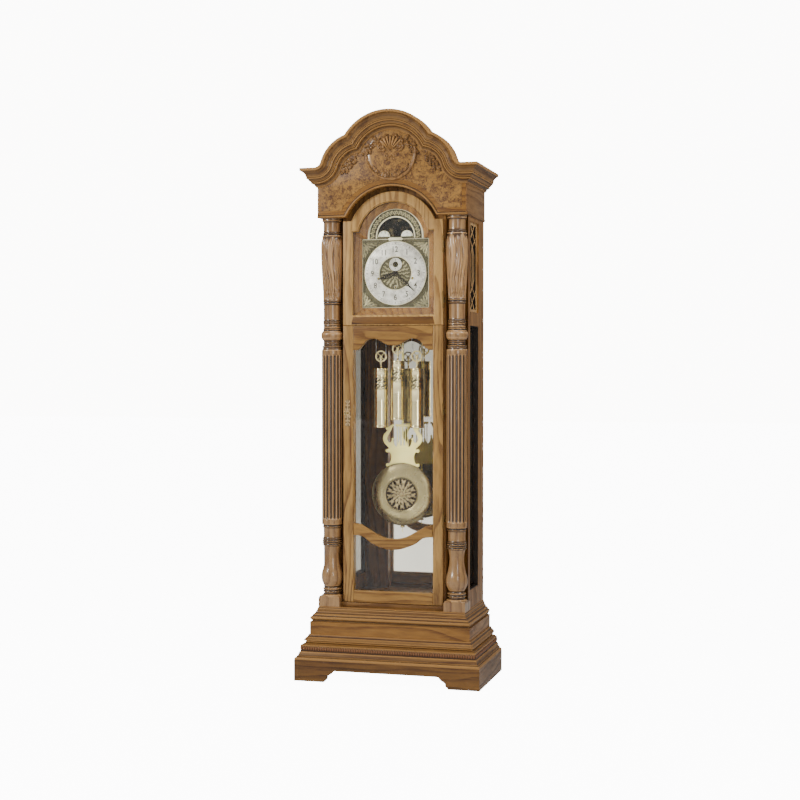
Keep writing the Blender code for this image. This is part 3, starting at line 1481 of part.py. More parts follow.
def make_waist_door(axis):
    foot, half = waist_door_foot, sight_width / 2
    top_edge = edge_line(scallop_shares, half, waist_door_top - top_rail_height, scallop_rise)
    swag_top = edge_line(swag_top_shares, half, foot + swag_top_height, -swag_top_drop)
    swag_foot = edge_line(swag_foot_shares, half, foot + swag_foot_height, -swag_foot_drop)
    upper = both_halves(top_edge) + both_halves(swag_top)[::-1]
    sight_foot = foot + waist_sight_foot_height
    lower = both_halves(swag_foot) + [(-half, sight_foot), (half, sight_foot)]
    outer = box_outline(-door_half, foot, door_half, waist_door_top)
    keyhole = circle((lock_x, lock_height), keyhole_radius, hinge_sides)
    frame = flat("frame", [outer, upper, lower, keyhole], door_face_y, door_back_y)
    floor_y = door_back_y - door_rebate_depth
    pane_top = waist_door_top - top_rail_height + scallop_rise

    def pane_outline(margin):
        return box_outline(-half - margin, sight_foot - margin, half + margin, pane_top + margin)

    rebate = flat("rebate", [pane_outline(door_rebate_margin)], floor_y, door_back_y + overrun)
    frame = cut(frame, rebate)
    knuckles = []
    for height in hinge_heights(foot, waist_door_height, waist_hinge_spacing):
        knuckles += door_knuckles(height)
    piece(join(frame, *knuckles), "waist_door_frame", oak, axis)
    pane = flat("pane", [pane_outline(door_rebate_margin - seat_gap)], floor_y + seat_gap,
                floor_y + seat_gap + glass_thickness)
    piece(pane, "waist_door_glass", glass_clear, axis)


def make_lock(axis):
    """The pierced plate on the door's stile, and the key in it."""
    half_height = escutcheon_height / 2
    half = [(lock_x + escutcheon_half_width * x, lock_height + half_height * z) for x, z in escutcheon_shares]
    outline = half + [(2 * lock_x - x, z) for x, z in reversed(half[1:-1])]
    hole = circle((lock_x, lock_height), keyhole_radius, hinge_sides)
    rear = door_face_y - seat_gap
    piece(flat("escutcheon", [outline, hole], rear - escutcheon_thickness, rear), "escutcheon_plate", brass, axis)

    near = rear - escutcheon_thickness - key_reach
    shank = cylinder("shank", (lock_x, near, lock_height), (lock_x, door_back_y - overrun, lock_height),
                     key_radius, hinge_sides)
    ring = [
        (key_bow_radius + key_bow_wire * cos(angle), key_bow_wire * sin(angle))
        for angle in (2 * pi * i / 5 for i in range(5))
    ]
    bow = turned("bow", ring, 12, (0, 0, 0), ring=True)
    bow.data.transform(Matrix.Translation((lock_x, near - key_bow_radius, lock_height))
                       @ Matrix.Rotation(pi / 2, 4, "Y"))
    piece(join(shank, bow), "door_key", brass, pivot("key_axis", (lock_x, near, lock_height)))


def make_doors():
    hood_axis = pivot("hood_door_axis", (hinge_x, hinge_y, hood_door_foot))
    waist_axis = pivot("waist_door_axis", (hinge_x, hinge_y, waist_door_foot))
    make_hood_door(hood_axis)
    make_waist_door(waist_axis)
    make_lock(waist_axis)
    for door, foot, height, spacing in (
        ("hood", hood_door_foot, hood_door_shoulder_height, hood_hinge_spacing),
        ("waist", waist_door_foot, waist_door_height, waist_hinge_spacing),
    ):
        for place, z in zip(("lower", "upper"), hinge_heights(foot, height, spacing)):
            make_hinge(f"{door}_hinge_{place}", z)


clear_scene()
clock = bpy.data.collections.new("Floor clock")
bpy.context.scene.collection.children.link(clock)
oak = material("oak", (0.50, 0.28, 0.11), 0.38)
oak_dark = material("oak, shaded", (0.22, 0.11, 0.045), 0.55)
brass = material("polished brass", (0.80, 0.66, 0.38), 0.18, metallic=1.0)
brass_antique = material("antique brass", (0.36, 0.28, 0.16), 0.42, metallic=1.0)
silver = material("silvered brass", (0.80, 0.78, 0.72), 0.32, metallic=0.8)
steel = material("steel", (0.55, 0.55, 0.55), 0.25, metallic=1.0)
black = material("blackened steel", (0.03, 0.025, 0.02), 0.40, metallic=0.6)
moon_blue = material("painted moon disc", (0.02, 0.03, 0.09), 0.45)
glass_clear = material("clear glass", (0.95, 0.97, 0.96), 0.02, transmission=1.0)
mirror_silver = material("mirror", (0.62, 0.60, 0.56), 0.04, metallic=1.0)

make_bracket_base()
make_base_box()
make_base_moulding()
make_waist_moulding()
make_side_frames()
make_side_glasses()
make_fret_grilles()
make_back()
make_columns()
make_pediment_board()
make_bonnet_moulding()
make_cornices()
make_roof_board()
make_carvings()
make_dial_mask()
make_dial()
make_hands()
make_seat_board()
make_movement_plates()
make_drums()
make_pallet_anchor()
make_chime_rods()
make_pendulum()
make_weights()
make_doors()
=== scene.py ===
"""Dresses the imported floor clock: figured and carved oak, brass works, a moon dial and glazed doors.

Metres, +Z up, and the dial looks along -Y. Each new surface is a grid of points worked out with numpy:
a profile turned about an axis, an outline carried back into a board, or a section carried along a line.
"""

import json

import bmesh
import bpy
import numpy as np
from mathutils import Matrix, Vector
from mathutils.geometry import tessellate_polygon

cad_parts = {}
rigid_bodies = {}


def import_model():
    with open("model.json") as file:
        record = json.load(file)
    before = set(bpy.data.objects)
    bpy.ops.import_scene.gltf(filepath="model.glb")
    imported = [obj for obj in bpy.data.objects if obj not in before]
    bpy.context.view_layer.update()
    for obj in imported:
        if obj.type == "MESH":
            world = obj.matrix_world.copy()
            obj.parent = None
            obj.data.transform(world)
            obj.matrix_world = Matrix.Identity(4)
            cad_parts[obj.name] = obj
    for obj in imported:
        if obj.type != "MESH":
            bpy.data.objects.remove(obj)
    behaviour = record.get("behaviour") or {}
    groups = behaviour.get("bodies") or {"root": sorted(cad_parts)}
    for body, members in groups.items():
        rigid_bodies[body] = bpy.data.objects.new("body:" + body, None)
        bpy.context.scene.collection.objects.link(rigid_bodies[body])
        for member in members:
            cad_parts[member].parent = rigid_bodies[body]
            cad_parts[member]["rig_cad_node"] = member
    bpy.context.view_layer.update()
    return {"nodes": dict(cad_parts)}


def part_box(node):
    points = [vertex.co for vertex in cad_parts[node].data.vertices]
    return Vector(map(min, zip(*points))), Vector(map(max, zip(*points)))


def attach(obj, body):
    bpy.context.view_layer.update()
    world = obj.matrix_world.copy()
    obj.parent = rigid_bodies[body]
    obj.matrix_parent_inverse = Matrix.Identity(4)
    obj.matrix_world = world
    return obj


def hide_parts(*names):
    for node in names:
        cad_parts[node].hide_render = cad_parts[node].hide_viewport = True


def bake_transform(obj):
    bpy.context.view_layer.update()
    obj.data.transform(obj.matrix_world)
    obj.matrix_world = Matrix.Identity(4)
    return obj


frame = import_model()
nodes = frame["nodes"]

full_turn = 2 * np.pi
gap = 0.0003

# Case, as the solids have it
case_half, case_back, case_top = 0.316, 0.225, 2.0697
box_half, box_front = 0.3458, -0.1723
frieze_half, frieze_foot = 0.3205, 1.945
frieze_face, frieze_back = -0.140, -0.118
cornice_top, cornice_reach, cornice_drop = 2.150, 0.060, 0.078
bonnet_top, crown_radius, shoulder_radius = 2.380, 0.220, 0.166
shoulder_x, shoulder_drop, flare_radius = 0.129, 0.026, 0.030
arch_z, frieze_arch = 1.854, 0.216
column_x, column_y, shaft_radius = 0.2725, -0.092, 0.0435

# Doors
door_face, door_back, door_half = -0.110, -0.088, 0.217
waist_foot, waist_top, sight_half = 0.3233, 1.4905, 0.1735
hood_foot, hood_shoulder, hood_arch = 1.4925, 1.931, 0.1975
hood_sight = (0.1744, 1.537, 1.8845, 0.1524)
hinge_x, hinge_y = 0.2185, -0.113
key_x, key_z = -0.197, 1.12283

# Dial
dial_z, dial_face = 1.712, -0.064
window_half, window_foot, window_shoulder = 0.1455, 1.5665, 1.858
ring_outer, ring_inner, ring_face = 0.135, 0.069, -0.068
moon_z, moon_radius = 1.866, 0.080
seconds_z = 1.749
winding = ((-0.074, 1.690), (0.0, 1.655), (0.074, 1.690))

# Works
pivot_z, pendulum_y, bob_z, bob_back = 1.775, 0.0475, 0.772, 0.0457
lyre_half, lyre_foot, lyre_height = 0.088, 0.880, 0.200
weight_y, weight_radius, weight_height, pulley_rise = -0.012, 0.0315, 0.252, 0.052
weights = {"left": (-0.079, 1.059, 1.690), "centre": (-0.005, 1.0915, 1.655), "right": (0.079, 1.059, 1.690)}


# ---------------------------------------------------------------- surfaces


def skin(grid, round_rows=False, round_columns=False, tone=0.6, flat=False):
    """Quads between neighbouring points of a grid; a round way also joins its last line to its first."""
    rows, columns = grid.shape[:2]
    i = np.arange(rows if round_rows else rows - 1)[:, None]
    j = np.arange(columns if round_columns else columns - 1)[None, :]
    i, j, down, along = np.broadcast_arrays(i, j, (i + 1) % rows, (j + 1) % columns)
    faces = np.stack([i * columns + j, i * columns + along, down * columns + along, down * columns + j], -1)
    faces = faces.reshape(-1, 4)
    shade = np.broadcast_to(np.asarray(tone, float), (rows, columns)).reshape(-1)
    return grid.reshape(-1, 3), faces, shade, np.full(len(faces), flat)


def hollows(section, reach=0.0035):
    """Tone along a closed section: low where its line turns into the wood, high where it turns out. That is
    told by how far the line lies in front of the chord between its points a few millimetres either side."""
    closed = np.concatenate([section, section[:1]])
    length = np.concatenate([[0], np.cumsum(np.hypot(*np.diff(closed, axis=0).T))])
    before, after = (
        np.stack([np.interp((length[:-1] + way) % length[-1], length, closed[:, k]) for k in (0, 1)], -1)
        for way in (-reach, reach))
    across, up = section.T
    area = np.sum(across * np.roll(up, -1) - np.roll(across, -1) * up)
    chord = after - before
    out = np.stack([chord[:, 1], -chord[:, 0]], -1) * np.sign(area)
    out /= np.maximum(np.linalg.norm(out, axis=1), 1e-9)[:, None]
    rise = np.sum((section - (before + after) / 2) * out, axis=1) / reach
    # The oak finishes read this tone as painted shade in the hollows and a painted highlight on the crests.
    return np.clip(0.62 + 2.6 * rise, 0.0, 1.0)


def cap(rings, tone=0.6):
    """Flat faces inside the first ring and outside the others, all in one plane."""
    rings = [np.asarray(ring, float) for ring in rings]
    corners = np.array(tessellate_polygon([[Vector(point) for point in ring] for ring in rings]))
    points = np.concatenate(rings)
    return points, corners[:, [0, 1, 2, 2]], np.full(len(points), tone), np.full(len(corners), True)


def joined(forms):
    """Several surfaces as one."""
    points, faces, tones, flats, start = [], [], [], [], 0
    for form_points, form_faces, form_tone, form_flat in forms:
        points.append(form_points)
        faces.append(form_faces + start)
        tones.append(form_tone)
        flats.append(form_flat)
        start += len(form_points)
    return tuple(np.concatenate(part) for part in (points, faces, tones, flats))


def extruded(grid, tone=0.6):
    """The closed section in each column of a grid carried on to the next column, with flat ends."""
    return joined([skin(grid, round_rows=True, tone=tone), cap([grid[:, 0]]), cap([grid[:, -1]])])


def pointed(grid, tone=0.6):
    """Rings of points along a line, drawn together to a point at both ends."""
    ends = [np.broadcast_to(grid[k].mean(axis=0), (1, *grid.shape[1:])) for k in (0, -1)]
    shade = np.broadcast_to(tone, grid.shape[:2])
    shade = np.concatenate([shade[:1], shade, shade[-1:]])
    return skin(np.concatenate([ends[0], grid, ends[1]]), round_columns=True, tone=shade)


def mirrored(form):
    """The surface on the other side of the clock's middle plane."""
    return form[0] * (-1, 1, 1), form[1][:, ::-1], *form[2:]


def both_sides(form):
    """A surface and its mirror image."""
    return [form, mirrored(form)]


def piece(name, forms, coat, body="case", stands_for=(), sharp=35):
    """Welds surfaces into one mesh that faces out, gives it its finish, and lets it ride on its body."""
    points, faces, tone, flat = joined(forms)
    _, first, index = np.unique(
        np.round(points * 1e6).astype(np.int64), axis=0, return_index=True, return_inverse=True)
    faces = index.reshape(-1)[faces]
    same = faces == np.roll(faces, -1, axis=1)
    count = same.sum(axis=1)
    quads, quad_flat = faces[count == 0], flat[count == 0]
    triangles, triangle_flat = [], []
    for corner in range(4):
        rows = (count == 1) & same[:, corner]
        triangles.append(np.delete(faces[rows], corner, axis=1))
        triangle_flat.append(flat[rows])
    triangles = np.concatenate(triangles)
    whole = (triangles[:, 0] != triangles[:, 2]) if len(triangles) else np.zeros(0, bool)
    triangles, triangle_flat = triangles[whole], np.concatenate(triangle_flat)[whole]
    mesh = bpy.data.meshes.new(name)
    mesh.vertices.add(len(first))
    mesh.vertices.foreach_set("co", points[first].astype(np.float32).ravel())
    mesh.loops.add(quads.size + triangles.size)
    corners = np.concatenate([quads.ravel(), triangles.ravel()])
    mesh.loops.foreach_set("vertex_index", corners.astype(np.int32))
    mesh.polygons.add(len(quads) + len(triangles))
    starts = np.concatenate([np.arange(len(quads)) * 4, quads.size + np.arange(len(triangles)) * 3])
    mesh.polygons.foreach_set("loop_start", starts.astype(np.int32))
    mesh.update(calc_edges=True)
    mesh.validate()
    mesh.attributes.new("tone", "FLOAT", "POINT").data.foreach_set("value", tone[first].astype(np.float32))
    if len(mesh.polygons) == len(quads) + len(triangles):
        mesh.polygons.foreach_set("use_smooth", ~np.concatenate([quad_flat, triangle_flat]))
    shape = bmesh.new()
    shape.from_mesh(mesh)
    bmesh.ops.recalc_face_normals(shape, faces=shape.faces)
    shape.to_mesh(mesh)
    shape.free()
    mesh.set_sharp_from_angle(angle=np.radians(sharp))
    obj = bpy.data.objects.new(name, mesh)
    bpy.context.scene.collection.objects.link(obj)
    dress(obj, coat)
    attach(obj, body)
    if stands_for:
        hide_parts(*stands_for)
    return obj


def pair(name, form, coat, node="", sharp=35):
    """A piece on the right and its mirror image on the left, each in place of a solid where one is named."""
    for side, shape in zip(("right", "left"), both_sides(form)):
        piece(f"{name}_{side}", [shape], coat, stands_for=(f"{node}_{side}",) if node else (), sharp=sharp)


def dress(obj, coat):
    """Gives an object one of the finishes."""
    obj.data.materials.clear()
    obj.data.materials.append(coats[coat])


def keep(names, coat, edge=0.0):
    """Solids that stay as they are, with a finish and, if asked, softened edges."""
    for name in names.split():
        dress(nodes[name], coat)
        if edge:
            bevel = nodes[name].modifiers.new("Softened edges", "BEVEL")
            bevel.width, bevel.segments, bevel.limit_method = edge, 2, "ANGLE"
            bevel.angle_limit = np.radians(35)
            bevel.harden_normals = True


# ---------------------------------------------------------------- lines and outlines


def arc(centre, radius, start, end, steps=24):
    """Points at (centre + radius cos a, centre + radius sin a), with a in degrees from start to end."""
    angle = np.radians(np.linspace(start, end, steps + 1))
    return np.stack([centre[0] + radius * np.cos(angle), centre[1] + radius * np.sin(angle)], -1)


def circle(centre, radius, sides=48):
    """The arc's points all the way round, once each."""
    return arc(centre, radius, 0, 360, sides)[:-1]


def rectangle(left, foot, right, top):
    """Four corners, anticlockwise from the lower left."""
    return np.array([(left, foot), (right, foot), (right, top), (left, top)])


def folded(half):
    """Half an outline up to the middle line, and then its mirror image back from there."""
    return np.concatenate([half, half[-2::-1] * (-1, 1)])


def unit(vectors):
    """Each row brought to a length of one."""
    return vectors / np.linalg.norm(vectors, axis=1)[:, None]


def clockwise(turn):
    """The way out from the dial's axis at an angle from twelve o'clock, and the way square to it."""
    return np.array([np.sin(turn), np.cos(turn)]), np.array([np.cos(turn), -np.sin(turn)])


def flowing(points, steps=6, closed=False):
    """A smooth line through the points: on each span, the cubic of its ends and their neighbours."""
    p = np.asarray(points, float)
    p = np.concatenate([p[-1:], p, p[:2]]) if closed else np.concatenate([p[:1], p, p[-1:]])
    a, b, c, d = (q[:, None] for q in (p[:-3], p[1:-2], p[2:-1], p[3:]))
    t = (np.arange(steps) / steps)[None, :, None]
    line = (2 * b + (c - a) * t + (2 * a - 5 * b + 4 * c - d) * t**2 + (3 * b - a - 3 * c + d) * t**3) / 2
    line = line.reshape(-1, p.shape[1])
    return line if closed else np.concatenate([line, p[-2:-1]])


def run(*parts):
    """One line out of several: straight through two points, smooth through more."""
    return np.concatenate([flowing(part) if len(part) > 2 else np.asarray(part, float) for part in parts])


def bulge(start, end, out, steps=10):
    """A half round from one point to another, standing out by a width square to them."""
    start, end = np.asarray(start, float), np.asarray(end, float)
    angle = np.linspace(0, np.pi, steps + 1)[:, None]
    middle, half = (start + end) / 2, (end - start) / 2
    side = np.array([half[1], -half[0]]) / np.hypot(*half)
    return middle - half * np.cos(angle) + side * out * np.sin(angle)


def spaced(line, count):
    """The line drawn again with so many points at even distances along it."""
    line = np.asarray(line, float)
    length = np.concatenate([[0], np.cumsum(np.linalg.norm(np.diff(line, axis=0), axis=1))])
    places = np.linspace(0, length[-1], count)
    return np.stack([np.interp(places, length, line[:, k]) for k in range(line.shape[1])], -1)


def inset(outline, distance):
    """Each corner of a closed outline moved inwards, square to the two lines that meet there."""
    along = unit(np.roll(outline, -1, 0) - outline)
    normal = np.stack([-along[:, 1], along[:, 0]], -1)
    x, z = outline.T
    if np.sum(x * np.roll(z, -1) - np.roll(x, -1) * z) < 0:
        normal = -normal
    before = np.roll(normal, 1, 0)
    share = np.maximum(1 + np.sum(normal * before, axis=1), 0.35)[:, None]
    return outline + distance * (normal + before) / share


def placed(outline, depth, facing="Y"):
    """Flat points (across, up) set at a depth along one axis. Along Z they lie level."""
    across, up = np.asarray(outline, float).T
    deep = np.broadcast_to(depth, across.shape)
    return np.stack({"X": (deep, across, up), "Y": (across, deep, up), "Z": (across, up, deep)}[facing], -1)


def soft_edge(size, steps=4):
    """A quarter round: (inset, depth) from the side of a board to its face."""
    angle = np.linspace(0, np.pi / 2, steps + 1)
    return [(size * (1 - np.cos(a)), size * (1 - np.sin(a))) for a in angle]


def board(outlines, front, back, edge=0.001, facing="Y", tone=0.6):
    """A board between two depths. Its outlines step into the wood by each inset as they near the front."""
    forms, fronts, backs = [], [], []
    way = 1 if back > front else -1
    for number, outline in enumerate(outlines):
        outline = np.asarray(outline, float)
        side = -1 if number else 1
        rows = [placed(outline, back, facing)]
        rows += [
            placed(inset(outline, side * by), front + way * depth, facing)
            for by, depth in (edge if isinstance(edge, list) else soft_edge(edge))
        ]
        forms.append(skin(np.array(rows), round_columns=True, tone=tone))
        backs.append(rows[0])
        fronts.append(rows[-1])
    return joined([*forms, cap(fronts, tone), cap(backs, tone)])


def box(left, front, foot, right, back, top, edge=0.001):
    """A squared length of wood with soft front edges."""
    return board([rectangle(left, foot, right, top)], front, back, edge)


def turned(profile, centre, axis="Z", sides=64, relief=None):
    """Points at (radius cos a, radius sin a) round an axis, at each height of a (radius, height) profile.

    A relief is a function of (angle, height) that gives what is added to the radius, and the tone."""
    radius, height = np.asarray(profile, float).T
    angle = np.linspace(0, full_turn, sides, endpoint=False)[None, :]
    radius, height = radius[:, None] + 0 * angle, height[:, None] + 0 * angle
    tone = 0.6
    if relief:
        added, tone = relief(angle + 0 * height, height)
        radius = radius + added
    across, deep = radius * np.cos(angle), radius * np.sin(angle)
    grid = np.stack([across, deep, height] if axis == "Z" else [across, height, deep], -1)
    return skin(grid + np.asarray(centre, float), round_columns=True, tone=tone)


def tube(line, radius, sides=10):
    """Rings square to a line, each of its own radius. The line's ends close to a point."""
    line = np.asarray(line, float)
    radius = np.broadcast_to(np.asarray(radius, float), len(line))[:, None, None]
    along = unit(np.gradient(line, axis=0))
    level = np.array([0.0, 1.0, 0.0]) if np.abs(along[:, 1]).max() < 0.9 else np.array([1.0, 0.0, 0.0])
    side = unit(np.cross(along, level))
    deep = np.cross(side, along)
    angle = np.linspace(0, full_turn, sides, endpoint=False)[None, :, None]
    return pointed(line[:, None] + radius * (side[:, None] * np.cos(angle) + deep[:, None] * np.sin(angle)))


def strap(line, half_widths, front, back, crown=0.0):
    """A strip that follows a line, as wide at each point as told, with its face crowned in the middle."""
    line = np.asarray(line, float)
    half = np.broadcast_to(np.asarray(half_widths, float), len(line))[:, None]
    along = unit(np.gradient(line, axis=0))
    side = np.stack([-along[:, 1], along[:, 0]], -1)
    shares = np.array([-1.0, -1.0, -0.8, -0.4, 0.0, 0.4, 0.8, 1.0, 1.0])
    rise = np.array([0.0, 0.55, 0.85, 0.97, 1.0, 0.97, 0.85, 0.55, 0.0])
    body = front + (back - front) * (1 - rise * (1 - crown) - crown * (rise > 0.9))
    rails = [placed(line + side * half * share, depth) for share, depth in zip(shares, body)]
    return pointed(np.stack(rails, 1))


def leaf(line, half_width, face, height, lobes=4, back=0.0006, steps=44):
    """A carved leaf along a line. Its half width swells and draws in to a point with a lobe in each beat of a
    sine, its cross section is a low arch with a raised midrib, and slanting furrows run from the rib to the
    lobes. It lies lower towards its foot."""
    line, foot_drop = spaced(line, steps), 0.35
    t, u = np.linspace(0, 1, steps)[:, None], np.linspace(-1, 1, 15)[None, :]
    along = unit(np.gradient(line, axis=0))
    side = np.stack([-along[:, 1], along[:, 0]], -1)
    swell = np.sin(np.pi * np.clip(t, 0.02, 0.985) ** 0.75) ** 0.7
    lobe = 0.72 + 0.28 * np.abs(np.sin(np.pi * lobes * t))
    width = half_width * swell * lobe
    lean = -0.5 * half_width * np.abs(u) ** 1.5 * swell / lobes
    furrow = 0.5 + 0.5 * np.cos(full_turn * (lobes * t - 0.55 * np.abs(u)))
    rib = np.exp(-(u / 0.13) ** 2)
    rise = np.sqrt(np.clip(1 - u**2, 0, 1)) ** 0.7 * (0.58 + 0.30 * furrow) + 0.26 * rib
    rise = rise * np.minimum(1, 1.3 * swell) * (1 - foot_drop * (1 - t) ** 2)
    plane = line[:, None] + side[:, None] * (width * u)[..., None] + along[:, None] * lean[..., None]
    top = np.stack([plane[..., 0], face - height * rise, plane[..., 1]], -1)
    under = np.stack([plane[..., 0], np.full_like(rise, face + back), plane[..., 1]], -1)
    # Tone by height: low parts darken as painted shade on oak and as patina on brass, high parts lighten as a
    # painted highlight on oak and as wear on brass.
    tone = np.concatenate([0.05 + 0.95 * rise**1.5, np.zeros_like(rise)], 1)
    return pointed(np.concatenate([top, under[:, ::-1]], 1), np.clip(tone, 0, 1))


def scroll(centre, radius, turns, start, face, height, hand=1, sides=8):
    """A tapering round that winds in to an eye: its distance from the centre shrinks evenly with its turn."""
    t = np.linspace(0, 1, int(34 * turns) + 6)
    angle = np.radians(start) + hand * full_turn * turns * t
    reach = radius * (1 - 0.86 * t**0.8)
    flat = np.stack([centre[0] + reach * np.cos(angle), centre[1] + reach * np.sin(angle)], -1)
    thick = height * (0.95 - 0.35 * t)
    eye = turned([(0, 0), (0.8 * height, 0), (0.75 * height, -0.5 * height), (0, -0.95 * height)],
                 (centre[0], face, centre[1]), "Y", 12)
    return joined([tube(placed(flat, face - 0.25 * thick), thick * 0.75, sides), eye])


def disc(profile, centre_z, sides=96, relief=None, x=0.0):
    """A turning whose axis runs front to back: (radius, depth) points."""
    return turned(profile, (x, 0, centre_z), "Y", sides, relief)


# ---------------------------------------------------------------- finishes


def link(tree, kind, inputs=None, **settings):
    """One node with its settings. Each input is a value, a colour, or a socket to join to it."""
    node = tree.nodes.new("ShaderNode" + kind)
    for key, value in settings.items():
        setattr(node, key, value)
    for key, value in (inputs or {}).items():
        socket = node.inputs[key]
        if isinstance(value, bpy.types.NodeSocket):
            tree.links.new(value, socket)
        else:
            socket.default_value = (*value, 1) if socket.type == "RGBA" else value
    return node


def maths(tree, operation, *values, clamp=False):
    """The result of one sum on values or sockets."""
    return link(tree, "Math", dict(enumerate(values)), operation=operation, use_clamp=clamp).outputs[0]


def stretch(tree, vector, scale):
    """The vector with each of its parts multiplied."""
    return link(tree, "VectorMath", {0: vector, 1: scale}, operation="MULTIPLY").outputs[0]


def noise(tree, vector, scale, detail=3.0, roughness=0.55, distortion=0.0):
    """Noise from 0 to 1 with finer noise laid over it."""
    inputs = {"Vector": vector, "Scale": scale, "Detail": detail, "Roughness": roughness,
              "Distortion": distortion}
    return link(tree, "TexNoise", inputs).outputs[0]


def between(tree, value, low, high, to_low=0.0, to_high=1.0):
    """A value carried smoothly from one range to another."""
    inputs = {0: value, 1: low, 2: high, 3: to_low, 4: to_high}
    return link(tree, "MapRange", inputs, interpolation_type="SMOOTHSTEP").outputs[0]


def blended(tree, share, first, second):
    """Two colours mixed by a share."""
    return link(tree, "Mix", {0: share, 6: first, 7: second}, data_type="RGBA").outputs[2]


def group(name, inputs, outputs):
    """A new node group and its input and output nodes."""
    made = bpy.data.node_groups.new(name, "ShaderNodeTree")
    for label, kind in inputs:
        made.interface.new_socket(label, in_out="INPUT", socket_type="NodeSocket" + kind)
    for label, kind in outputs:
        made.interface.new_socket(label, in_out="OUTPUT", socket_type="NodeSocket" + kind)
    return made, made.nodes.new("NodeGroupInput").outputs, made.nodes.new("NodeGroupOutput").inputs


def grain_group():
    """Oak with its grain along Z: contours of stretched noise make the arched figure, fine long noise makes
    the pores that crowd along each ring, and slow noise drifts the colour of the board."""
    tree, given, out = group(
        "Oak grain", [("Place", "Vector"), ("Figure", "Float"), ("Light", "Color"), ("Dark", "Color")],
        [("Colour", "Color"), ("Roughness", "Float"), ("Height", "Float")])
    place, figure = given["Place"], given["Figure"]
    wander = noise(tree, stretch(tree, place, (1, 1, 0.16)), 6.5, 2.0)
    across = link(tree, "VectorMath", {0: place, 1: (31, 23, 0)}, operation="DOT_PRODUCT").outputs["Value"]
    rings = maths(tree, "FRACT", maths(tree, "ADD", across, maths(tree, "MULTIPLY", wander, figure)))
    line = maths(tree, "MULTIPLY", between(tree, rings, 0.35, 0.95), between(tree, rings, 1.0, 0.94))
    pore = between(tree, noise(tree, stretch(tree, place, (1, 1, 0.035)), 620, 2.0), 0.55, 0.66)
    pore = maths(tree, "MULTIPLY", pore, maths(tree, "MULTIPLY_ADD", line, 0.75, 0.25))
    drift = between(tree, noise(tree, stretch(tree, place, (1, 1, 0.3)), 5.0, 3.0), 0.3, 0.72)
    fleck = between(tree, noise(tree, stretch(tree, place, (1, 1, 0.12)), 95, 2.0), 0.35, 0.7)
    share = maths(tree, "MULTIPLY_ADD", line, 0.50, maths(tree, "MULTIPLY", drift, 0.30))
    share = maths(tree, "MULTIPLY_ADD", fleck, 0.30, share)
    share = maths(tree, "MULTIPLY_ADD", pore, 0.45, share, clamp=True)
    tree.links.new(blended(tree, share, given["Light"], given["Dark"]), out["Colour"])
    tree.links.new(maths(tree, "MULTIPLY_ADD", share, 0.16, 0.34), out["Roughness"])
    tree.links.new(maths(tree, "SUBTRACT", maths(tree, "MULTIPLY", line, -0.2), pore), out["Height"])
    return tree


def glaze_group():
    """Painted shade in the hollows and a painted highlight on the crests of moulded, turned and carved oak,
    and patina in the hollows and wear on the crests of brass: the colour falls towards the hollow colour
    where the surface's tone is low, and towards a lighter colour where it is high."""
    tree, given, out = group(
        "Painted shade and highlight, patina and wear",
        [("Colour", "Color"), ("Shade and patina colour", "Color"), ("Highlight and wear colour", "Color"), ("Depth", "Float")],
        [("Colour", "Color")])
    tone = link(tree, "Attribute", attribute_name="tone").outputs["Fac"]
    # Low tone gives painted shade on oak and patina on brass; high tone gives a painted highlight on oak and
    # wear on brass
    hollow = maths(tree, "MULTIPLY", between(tree, tone, 0.60, 0.06), given["Depth"])
    crest = maths(tree, "MULTIPLY", between(tree, tone, 0.66, 1.0), 0.80)
    highlit_and_worn = blended(tree, crest, given["Colour"], given["Highlight and wear colour"])
    tree.links.new(blended(tree, hollow, highlit_and_worn, given["Shade and patina colour"]), out["Colour"])
    return tree


def metal_group():
    """Handling on metal: slow noise drifts the colour and the gloss, and fine long noise leaves hairlines."""
    tree, given, out = group(
        "Handled metal",
        [("Place", "Vector"), ("Clean", "Color"), ("Dull", "Color"), ("Gloss", "Float"), ("Spread", "Float")],
        [("Colour", "Color"), ("Roughness", "Float"), ("Height", "Float")])
    slow = between(tree, noise(tree, given["Place"], 14, 4.0), 0.35, 0.7)
    fine = noise(tree, stretch(tree, given["Place"], (1, 1, 0.05)), 900, 2.0)
    tree.links.new(blended(tree, slow, given["Clean"], given["Dull"]), out["Colour"])
    rough = maths(tree, "MULTIPLY_ADD", slow, given["Spread"], given["Gloss"])
    tree.links.new(maths(tree, "MULTIPLY_ADD", fine, 0.04, rough), out["Roughness"])
    tree.links.new(fine, out["Height"])
    return tree


def grouped(tree, made, values):
    """A placed copy of a node group."""
    return link(tree, "Group", values, node_tree=made).outputs


def finish(name, slot, **constants):
    """A new material: its tree, its shader with plain values set, and the places and normals to read."""
    made = bpy.data.materials.new(name)
    made.use_nodes = True
    shader = made.node_tree.nodes["Principled BSDF"]
    for key, value in constants.items():
        shader.inputs[key.replace("_", " ")].default_value = value
    coats[name], slots[name] = made, slot
    return made.node_tree, shader, link(made.node_tree, "TexCoord").outputs


def surfaced(tree, shader, colour, roughness, height=None, strength=0.0, distance=0.001):
    """Joins a colour and a roughness to the shader, and bumps of a height where one is given."""
    tree.links.new(colour, shader.inputs["Base Color"])
    tree.links.new(roughness, shader.inputs["Roughness"])
    if height is not None:
        bump = link(tree, "Bump", {"Strength": strength, "Distance": distance, "Height": height})
        tree.links.new(bump.outputs[0], shader.inputs["Normal"])


